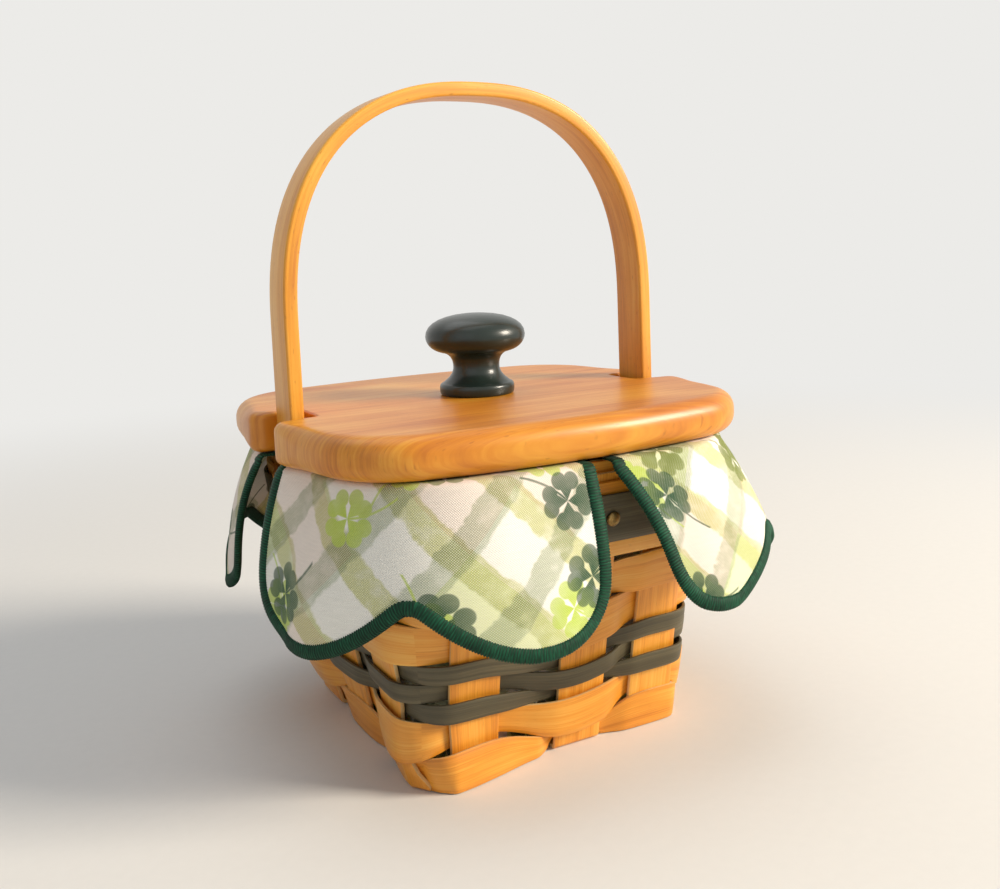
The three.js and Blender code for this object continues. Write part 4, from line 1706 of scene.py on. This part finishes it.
@dataclass(frozen=True)
class StitchThread:
    """Dark green spun polyester, sewn side by side over the edge, with a faint sheen. Each stitch's
    crest carries a painted highlight, and the line where two stitches meet carries painted shade."""

    name: str = "dark_green_spun_stitching"
    # deep is the painted shade where two stitches meet, and high the painted highlight on each
    # crest.
    deep: str = "#041c11"
    middle: str = "#0a3824"
    high: str = "#1b5c40"
    pitch: float = 0.88

    def build(self) -> Material:
        """Builds the material."""
        material, tree, body = start(self.name, {
            "Roughness": 0.62, "Sheen Weight": 0.04, "Sheen Roughness": 0.45,
            "Specular IOR Level": 0.2,
        })
        source = add(tree, "UVMap", uv_map="UVMap")
        parts = add(tree, "SeparateXYZ", [source])
        run = add(tree, "Math", [
            parts.outputs[1], 2000 * math.pi / self.pitch,
        ], operation="MULTIPLY")
        wave = add(tree, "Math", [run], operation="SINE")
        place = add(tree, "Mapping", {"Vector": source, "Scale": (500.0, 3200.0, 1.0)})
        fuzz = add(tree, "TexNoise", {"Vector": place, "Scale": 1.0, "Detail": 3.0})
        long_place = add(tree, "Mapping", {"Vector": source, "Scale": (30.0, 90.0, 1.0)})
        cloud = add(tree, "TexNoise", {"Vector": long_place, "Scale": 1.0, "Detail": 2.0})
        lifted = add(tree, "Math", [wave, 0.16, fuzz], operation="MULTIPLY_ADD")
        # The colour follows the stitches' relief, a painted highlight on each crest and painted
        # shade between two, with the fibres' fuzz and a slow random tone mixed in.
        shade = add(tree, "Mix", [0.3, lifted, cloud], data_type="FLOAT")
        tone = add(tree, "ValToRGB", [shade])
        colour_stops(tone, (0.3, self.deep), (0.5, self.middle), (0.7, self.high))
        bump_node = add(tree, "Bump", {"Strength": 0.5, "Distance": 0.12 * MM, "Height": lifted})
        feed(body, {"Base Color": tone, "Normal": bump_node})
        return material


@dataclass(frozen=True)
class PrintedLinen:
    """Plain-woven linen, printed in soft washes: wide slanting bands that cross into diamonds,
    with scattered four-leaf clovers. The print breaks up over the threads, and the cloth is
    matt with a faint fuzz at grazing angles."""

    name: str = "plain_woven_printed_linen"
    ground: str = "#f6f4ea"
    blush: str = "#f2e3d5"
    pale_green: str = "#e6ecb6"
    olive_band: str = "#d0d396"
    sage_band: str = "#c2cab7"
    clover_green: str = "#0e4724"
    clover_olive: str = "#6c7a1c"
    clover_lime: str = "#b9cf48"
    thread: float = 0.72
    band_width: float = 8.5
    band_pitch: float = 23.0
    slant: float = 42.0
    lobe_centre: tuple[float, float, float] = (6.0, 2.15, 0.0)
    lobe_radius: float = 2.75
    leaf_slope: float = 0.62
    leaf_end: float = 6.3
    stem_curve: float = 0.02
    stem_half: float = 0.45
    stem_end: float = 16.5
    clover_spread: float = 0.2

    def band(self, tree: Tree, place: Node, sign: int, wash: Node) -> tuple[Node, Node]:
        """Adds one set of slanting bands.

        Args:
            tree: The material's node tree.
            place: The place on the cloth in millimetres.
            sign: Which way the bands slant.
            wash: The soft unevenness of the ink.

        Returns:
            The bands' mask, and the place across them.
        """
        turn = math.radians(self.slant)
        across = add(tree, "VectorMath", [
            place, (math.cos(turn), sign * math.sin(turn), 0.0),
        ], operation="DOT_PRODUCT")
        # The hand-drawn edge wanders by up to a millimetre.
        wander = add(tree, "Math", [wash, 5.0, across], operation="MULTIPLY_ADD")
        folded = add(tree, "Math", [wander, self.band_pitch / 2], operation="PINGPONG")
        mask = add(tree, "MapRange", [
            folded, self.band_width / 2 - 0.7, self.band_width / 2 + 0.5, 1.0, 0.0,
        ], interpolation_type="SMOOTHSTEP")
        inked = add(tree, "Math", [mask, wash], operation="MULTIPLY")
        strong = add(tree, "Math", [inked, 1.9], operation="MULTIPLY", use_clamp=True)
        return strong, across

    def leaves(self, tree: Tree, spot: Node) -> tuple[Node, Node]:
        """Adds the shape of a clover's four heart-shaped leaves.

        Args:
            tree: The material's node tree.
            spot: The place from the clover's middle in millimetres.

        Returns:
            The distance outwards from the leaves' edge, and from the clover's middle.
        """
        parts = add(tree, "SeparateXYZ", [spot])
        x, y = parts.outputs[0], parts.outputs[1]
        reach = add(tree, "VectorMath", [spot], operation="LENGTH")
        bearing = add(tree, "Math", [y, x], operation="ARCTAN2")
        # Each quarter is folded onto half a leaf.
        leaf = add(tree, "Math", [bearing, math.pi / 4], operation="PINGPONG")
        cosine = add(tree, "Math", [leaf], operation="COSINE")
        sine = add(tree, "Math", [leaf], operation="SINE")
        out = add(tree, "Math", [reach, cosine], operation="MULTIPLY")
        side = add(tree, "Math", [reach, sine], operation="MULTIPLY")
        folded = add(tree, "CombineXYZ", [out, side])
        lobe = add(tree, "VectorMath", [folded, self.lobe_centre], operation="DISTANCE")
        round_part = add(tree, "Math", [lobe, self.lobe_radius], operation="SUBTRACT")
        edge = add(tree, "Math", [out, -self.leaf_slope, side], operation="MULTIPLY_ADD")
        end = add(tree, "Math", [out, self.leaf_end], operation="SUBTRACT")
        point = add(tree, "Math", [edge, end], operation="MAXIMUM")
        return add(tree, "Math", [round_part, point], operation="MINIMUM"), reach

    def stem(self, tree: Tree, spot: Node) -> Node:
        """Adds the shape of a clover's curved stem.

        Args:
            tree: The material's node tree.
            spot: The place from the clover's middle in millimetres.

        Returns:
            The distance outwards from the stem's edge.
        """
        half = math.sqrt(0.5)
        along = add(tree, "VectorMath", [spot, (half, half, 0.0)], operation="DOT_PRODUCT")
        across = add(tree, "VectorMath", [spot, (-half, half, 0.0)], operation="DOT_PRODUCT")
        squared = add(tree, "Math", [along, 2.0], operation="POWER")
        curve = add(tree, "Math", [squared, -self.stem_curve, across], operation="MULTIPLY_ADD")
        width = add(tree, "Math", [curve], operation="ABSOLUTE")
        thin = add(tree, "Math", [width, self.stem_half], operation="SUBTRACT")
        behind = add(tree, "Math", [along, -1.0], operation="MULTIPLY")
        tip = add(tree, "Math", [along, self.stem_end], operation="SUBTRACT")
        ends = add(tree, "Math", [behind, tip], operation="MAXIMUM")
        return add(tree, "Math", [thin, ends], operation="MAXIMUM")

    def clovers(self, tree: Tree, place: Node, cell: float, size: float,
                shift: tuple[float, float, float]) -> tuple[Node, Socket]:
        """Adds one scatter of clovers, each in its own square of cloth.

        Args:
            tree: The material's node tree.
            place: The place on the cloth in millimetres.
            cell: The side of a clover's square.
            size: The clover's size, where 1 is 18 mm across.
            shift: Where the squares start, in squares.

        Returns:
            The clovers' mask, and a random number for each.
        """
        squares = add(tree, "VectorMath", [
            place, (1 / cell, 1 / cell, 0.0), shift,
        ], operation="MULTIPLY_ADD")
        square = add(tree, "VectorMath", [squares], operation="FLOOR")
        inside = add(tree, "VectorMath", [squares], operation="FRACTION")
        chance = add(tree, "TexWhiteNoise", {"Vector": square}, noise_dimensions="3D")
        spread = self.clover_spread * cell / size
        away = add(tree, "VectorMath", [
            chance.outputs["Color"], (-spread, -spread, 0.0), (spread / 2, spread / 2, 0.0),
        ], operation="MULTIPLY_ADD")
        local = add(tree, "VectorMath", [
            inside, (cell / size, cell / size, 0.0), away,
        ], operation="MULTIPLY_ADD")
        centred = add(tree, "VectorMath", [
            local, (cell / size / 2, cell / size / 2, 0.0),
        ], operation="SUBTRACT")
        angle = add(tree, "Math", [chance, 2 * math.pi], operation="MULTIPLY")
        spot = add(tree, "VectorRotate", {
            "Vector": centred, "Angle": angle,
        }, rotation_type="Z_AXIS")
        leaves, reach = self.leaves(tree, spot)
        stem = self.stem(tree, spot)
        shape = add(tree, "Math", [leaves, stem], operation="MINIMUM")
        mask = add(tree, "MapRange", [shape, -0.25, 0.15, 1.0, 0.0])
        pale = add(tree, "MapRange", [reach, 2.0, 9.0, 1.0, 0.78])
        inked = add(tree, "Math", [mask, pale], operation="MULTIPLY")
        colours = add(tree, "SeparateColor", [chance.outputs["Color"]])
        return inked, colours.outputs[2]

    def weave(self, tree: Tree, place: Node) -> Node:
        """Adds the relief of the threads, which go over and under each other in turn.

        Args:
            tree: The material's node tree.
            place: The place on the cloth in millimetres.

        Returns:
            The relief, from -1 to 1.
        """
        # Threads are about 0.5 mm apart, and are drawn a little coarser, so that they show.
        threads = []
        for direction in ((1.0, 0.0, 0.0), (0.0, 1.0, 0.0)):
            along = add(tree, "VectorMath", [place, direction], operation="DOT_PRODUCT")
            phase = add(tree, "Math", [along, 2 * math.pi / self.thread], operation="MULTIPLY")
            threads.append(add(tree, "Math", [phase], operation="SINE"))
        return add(tree, "Math", threads, operation="MULTIPLY")

    def build(self) -> Material:
        """Builds the material."""
        material, tree, body = start(self.name, {
            "Roughness": 0.92, "Sheen Weight": 0.08, "Sheen Roughness": 0.5, "IOR": 1.45,
        })
        source = add(tree, "UVMap", uv_map="UVMap")
        place = add(tree, "Mapping", {"Vector": source, "Scale": (1000.0, 1000.0, 0.0)})
        wash = add(tree, "TexNoise", {
            "Vector": place, "Scale": 0.16, "Detail": 4.0, "Roughness": 0.55,
        })
        olive, first = self.band(tree, place, 1, wash)
        sage, second = self.band(tree, place, -1, wash)
        lattice = add(tree, "CombineXYZ", [first, second])
        diamonds = add(tree, "VectorMath", [
            lattice, (1 / self.band_pitch, 1 / self.band_pitch, 0.0),
        ], operation="MULTIPLY")
        diamond = add(tree, "VectorMath", [diamonds], operation="FLOOR")
        chance = add(tree, "TexWhiteNoise", {"Vector": diamond}, noise_dimensions="3D")
        colour = add(tree, "ValToRGB", [chance])
        colour.color_ramp.interpolation = "CONSTANT"
        colour_stops(colour, (0.0, self.ground), (0.42, self.blush), (0.7, self.pale_green))
        for mask, ink in ((olive, self.olive_band), (sage, self.sage_band)):
            colour = add(tree, "Mix", [mask, colour, linear(ink)],
                         data_type="RGBA", blend_type="MULTIPLY")
        weave = self.weave(tree, place)
        bare = add(tree, "MapRange", [weave, -0.1, 0.8, 0.0, 0.62])
        colour = add(tree, "Mix", [bare, colour, linear(self.ground)], data_type="RGBA")
        scatters = (
            (47.0, 0.95, (0.52, 0.29, 3.0), self.clover_lime, self.clover_olive),
            (47.0, 1.05, (0.31, 0.18, 0.0), self.clover_green, self.clover_olive),
            (58.0, 0.95, (0.74, 0.55, 7.0), self.clover_green, self.clover_lime),
        )
        for cell, size, shift, often, seldom in scatters:
            mask, number = self.clovers(tree, place, cell, size, shift)
            tint = add(tree, "ValToRGB", [number])
            tint.color_ramp.interpolation = "CONSTANT"
            colour_stops(tint, (0.0, often), (0.68, seldom))
            ink = add(tree, "MapRange", [wash, 0.3, 0.6, 0.88, 1.0])
            amount = add(tree, "Math", [mask, ink], operation="MULTIPLY")
            colour = add(tree, "Mix", [amount, colour, tint], data_type="RGBA")
        slub_place = add(tree, "Mapping", {"Vector": place, "Scale": (0.18, 1.5, 1.0)})
        slub = add(tree, "TexNoise", {"Vector": slub_place, "Scale": 1.0, "Detail": 3.0})
        flecks = add(tree, "MapRange", [weave, 0.0, 0.9, 0.0, 0.2])
        broken = add(tree, "Mix", [flecks, colour, linear(self.ground)], data_type="RGBA")
        shade = add(tree, "MapRange", [slub, 0.3, 0.7, 0.94, 1.0])
        toned = add(tree, "Mix", [1.0, broken, shade], data_type="RGBA", blend_type="MULTIPLY")
        height = add(tree, "Math", [slub, 0.8, weave], operation="MULTIPLY_ADD")
        bump_node = add(tree, "Bump", {"Strength": 0.5, "Distance": 0.1 * MM, "Height": height})
        feed(body, {"Base Color": toned, "Normal": bump_node})
        return material


# Studio


@dataclass(frozen=True)
class Studio:
    """A plain pale floor, soft lamps, and the camera.

    Places and sizes are in metres, and the film's width in millimetres.
    """

    floor_radius: float = 6.0
    floor_colour: str = "#e6e4df"
    back_colour: str = "#ecebe8"
    sky_colour: str = "#e8ecf2"
    sky_strength: float = 0.34
    camera_place: tuple[float, float, float] = (-0.1746, -0.3373, 0.1664)
    yaw: float = 0.50
    pitch: float = 0.11
    roll: float = -0.04
    focal_pixels: float = 1076.1
    frame_width: int = 1000
    frame_height: int = 889
    film_width: float = 36.0
    aim: tuple[float, float, float] = (0.0, 0.0, 0.08)
    centre: tuple[float, float] = (500.0, 360.0)
    lamps: tuple[tuple[str, tuple[float, float, float], float, float, str], ...] = (
        ("key_lamp", (1.5, -1.2, 0.95), 0.66, 60.0, "#fff3e2"),
        ("fill_lamp", (-0.9, -0.7, 0.55), 0.9, 0.9, "#f2f6ff"),
        ("top_lamp", (-0.2, 0.5, 2.0), 1.8, 12.0, "#ffffff"),
    )

    def camera(self) -> None:
        """Sets the camera up at the photograph's view."""
        flat = math.cos(self.pitch)
        look = Vector((math.sin(self.yaw) * flat, math.cos(self.yaw) * flat, -math.sin(self.pitch)))
        level = Vector((math.cos(self.yaw), -math.sin(self.yaw), 0))
        rise = level.cross(look)
        right = math.cos(self.roll) * level + math.sin(self.roll) * rise
        up = -math.sin(self.roll) * level + math.cos(self.roll) * rise
        lens = bpy.data.cameras.new("camera")
        lens.sensor_width = self.film_width
        lens.lens = self.focal_pixels / self.frame_width * self.film_width
        lens.shift_x = (self.frame_width / 2 - self.centre[0]) / self.frame_width
        lens.shift_y = (self.centre[1] - self.frame_height / 2) / self.frame_width
        lens.clip_start = 0.01
        camera = bpy.data.objects.new("camera", lens)
        bpy.context.scene.collection.objects.link(camera)
        facing = Matrix((right, up, -look)).transposed().to_4x4()
        camera.matrix_world = Matrix.Translation(self.camera_place) @ facing
        bpy.context.scene.camera = camera

    def looks(self, tree: Tree) -> Node:
        """Adds what is 1 where the camera, a reflection or glass meets the backdrop."""
        path = add(tree, "LightPath")
        direct = add(tree, "Math", [
            path.outputs["Is Camera Ray"], path.outputs["Is Transmission Ray"],
        ], operation="MAXIMUM")
        return add(tree, "Math", [direct, path.outputs["Is Glossy Ray"]], operation="MAXIMUM")

    def light(self) -> None:
        """Adds the lamps and the pale world."""
        for name, spot, size, power, colour in self.lamps:
            data = bpy.data.lights.new(name, "AREA")
            data.size = size
            data.energy = power
            data.color = linear(colour)[:3]
            lamp = bpy.data.objects.new(name, data)
            bpy.context.scene.collection.objects.link(lamp)
            lamp.location = spot
            way = Vector(self.aim) - Vector(spot)
            lamp.rotation_euler = way.to_track_quat("-Z", "Y").to_euler()
        world = bpy.data.worlds.new("studio_world")
        bpy.context.scene.world = world
        world.use_nodes = True
        tree = world.node_tree
        tree.nodes.clear()
        soft = add(tree, "Background", {
            "Color": linear(self.sky_colour), "Strength": self.sky_strength,
        })
        seen = add(tree, "Background", {"Color": linear(self.back_colour), "Strength": 1.0})
        shader = add(tree, "MixShader", [self.looks(tree), soft, seen])
        add(tree, "OutputWorld", {"Surface": shader})

    def floor(self) -> None:
        """Adds the floor, a wide pale disc with a faint grain."""
        bpy.ops.object.select_all(action="DESELECT")
        bpy.ops.mesh.primitive_circle_add(vertices=96, radius=self.floor_radius, fill_type="NGON",
                                          location=(0, 0, -0.1 * MM))
        piece = new_piece("studio_floor")
        material, tree, body = start("matt_painted_board", {"Roughness": 0.85})
        source = add(tree, "TexCoord").outputs["Object"]
        grain = add(tree, "TexNoise", {"Vector": source, "Scale": 260.0, "Detail": 3.0})
        shade = add(tree, "MapRange", [grain, 0.3, 0.7, 0.985, 1.0])
        colour = add(tree, "Mix", [
            1.0, linear(self.floor_colour), shade,
        ], data_type="RGBA", blend_type="MULTIPLY")
        feed(body, {"Base Color": colour})
        # Far from the basket the floor goes over into the plain backdrop.
        away = add(tree, "VectorMath", [source], operation="LENGTH")
        far = add(tree, "MapRange", [away, 0.22, 0.9, 0.0, 1.0], interpolation_type="SMOOTHSTEP")
        seen = add(tree, "Math", [far, self.looks(tree)], operation="MULTIPLY")
        plain = add(tree, "Emission", {"Color": linear(self.back_colour), "Strength": 1.0})
        shader = add(tree, "MixShader", [seen, body, plain])
        feed(tree.nodes["Material Output"], {"Surface": shader})
        piece.data.materials.append(material)

    def build(self) -> None:
        """Sets up the camera, the lamps and the floor."""
        view = bpy.context.scene.view_settings
        view.view_transform = "Standard"
        self.camera()
        self.light()
        self.floor()


def main() -> None:
    """Builds the studio and every part of the basket."""
    logging.basicConfig(level=logging.INFO, format="%(name)s %(message)s")
    Studio().build()
    splint = VarnishedWood("split_maple_honey_stain_varnished", "#c87616", "#ea9a2c", "#f7bd54",
                           "#95540f", Way.UNROLLED, pore_share=0.22)
    stained = VarnishedWood("split_maple_grey_stain", "#383220", "#4f4730", "#6e6447", "#231f11",
                            Way.UNROLLED, roughness=0.55, coat=0.1)
    bent = VarnishedWood("steam_bent_ash_varnished", "#c67b1a", "#e19a2a", "#f3bb4c", "#8f500f",
                         Way.UNROLLED, fibre=0.7, fibre_length=40.0, figure=6.0, pore_share=0.5)
    board = VarnishedWood("sawn_maple_board_varnished", "#b4620e", "#d3841a", "#e9a836", "#8a480b",
                          Way.BOARD, fibre=0.8, fibre_length=30.0, figure=9.0, figure_length=120.0,
                          roughness=0.4, coat=0.15, coat_roughness=0.22)
    # The splints' edges are given a lighter, creamier wood colour than their faces.
    edge = VarnishedWood("bare_maple_cut_edge", "#c08a48", "#e2b878", "#f4d9a4", "#8d5c28",
                         Way.UNROLLED, pore_share=0.1, roughness=0.6, coat=0.05)
    natural, strip, cut = splint.build(), stained.build(), edge.build()
    brass = AgedBrass().build()
    Uprights(natural, cut).build()
    WovenRows(natural, strip, cut).build()
    Rim(natural, strip, brass).build()
    Handle(bent.build()).build()
    Liner(PrintedLinen().build(), StitchThread().build()).build()
    Lid(board.build()).build()
    Knob(PaintedWood().build(), brass).build()


if __name__ == "__main__":
    main()
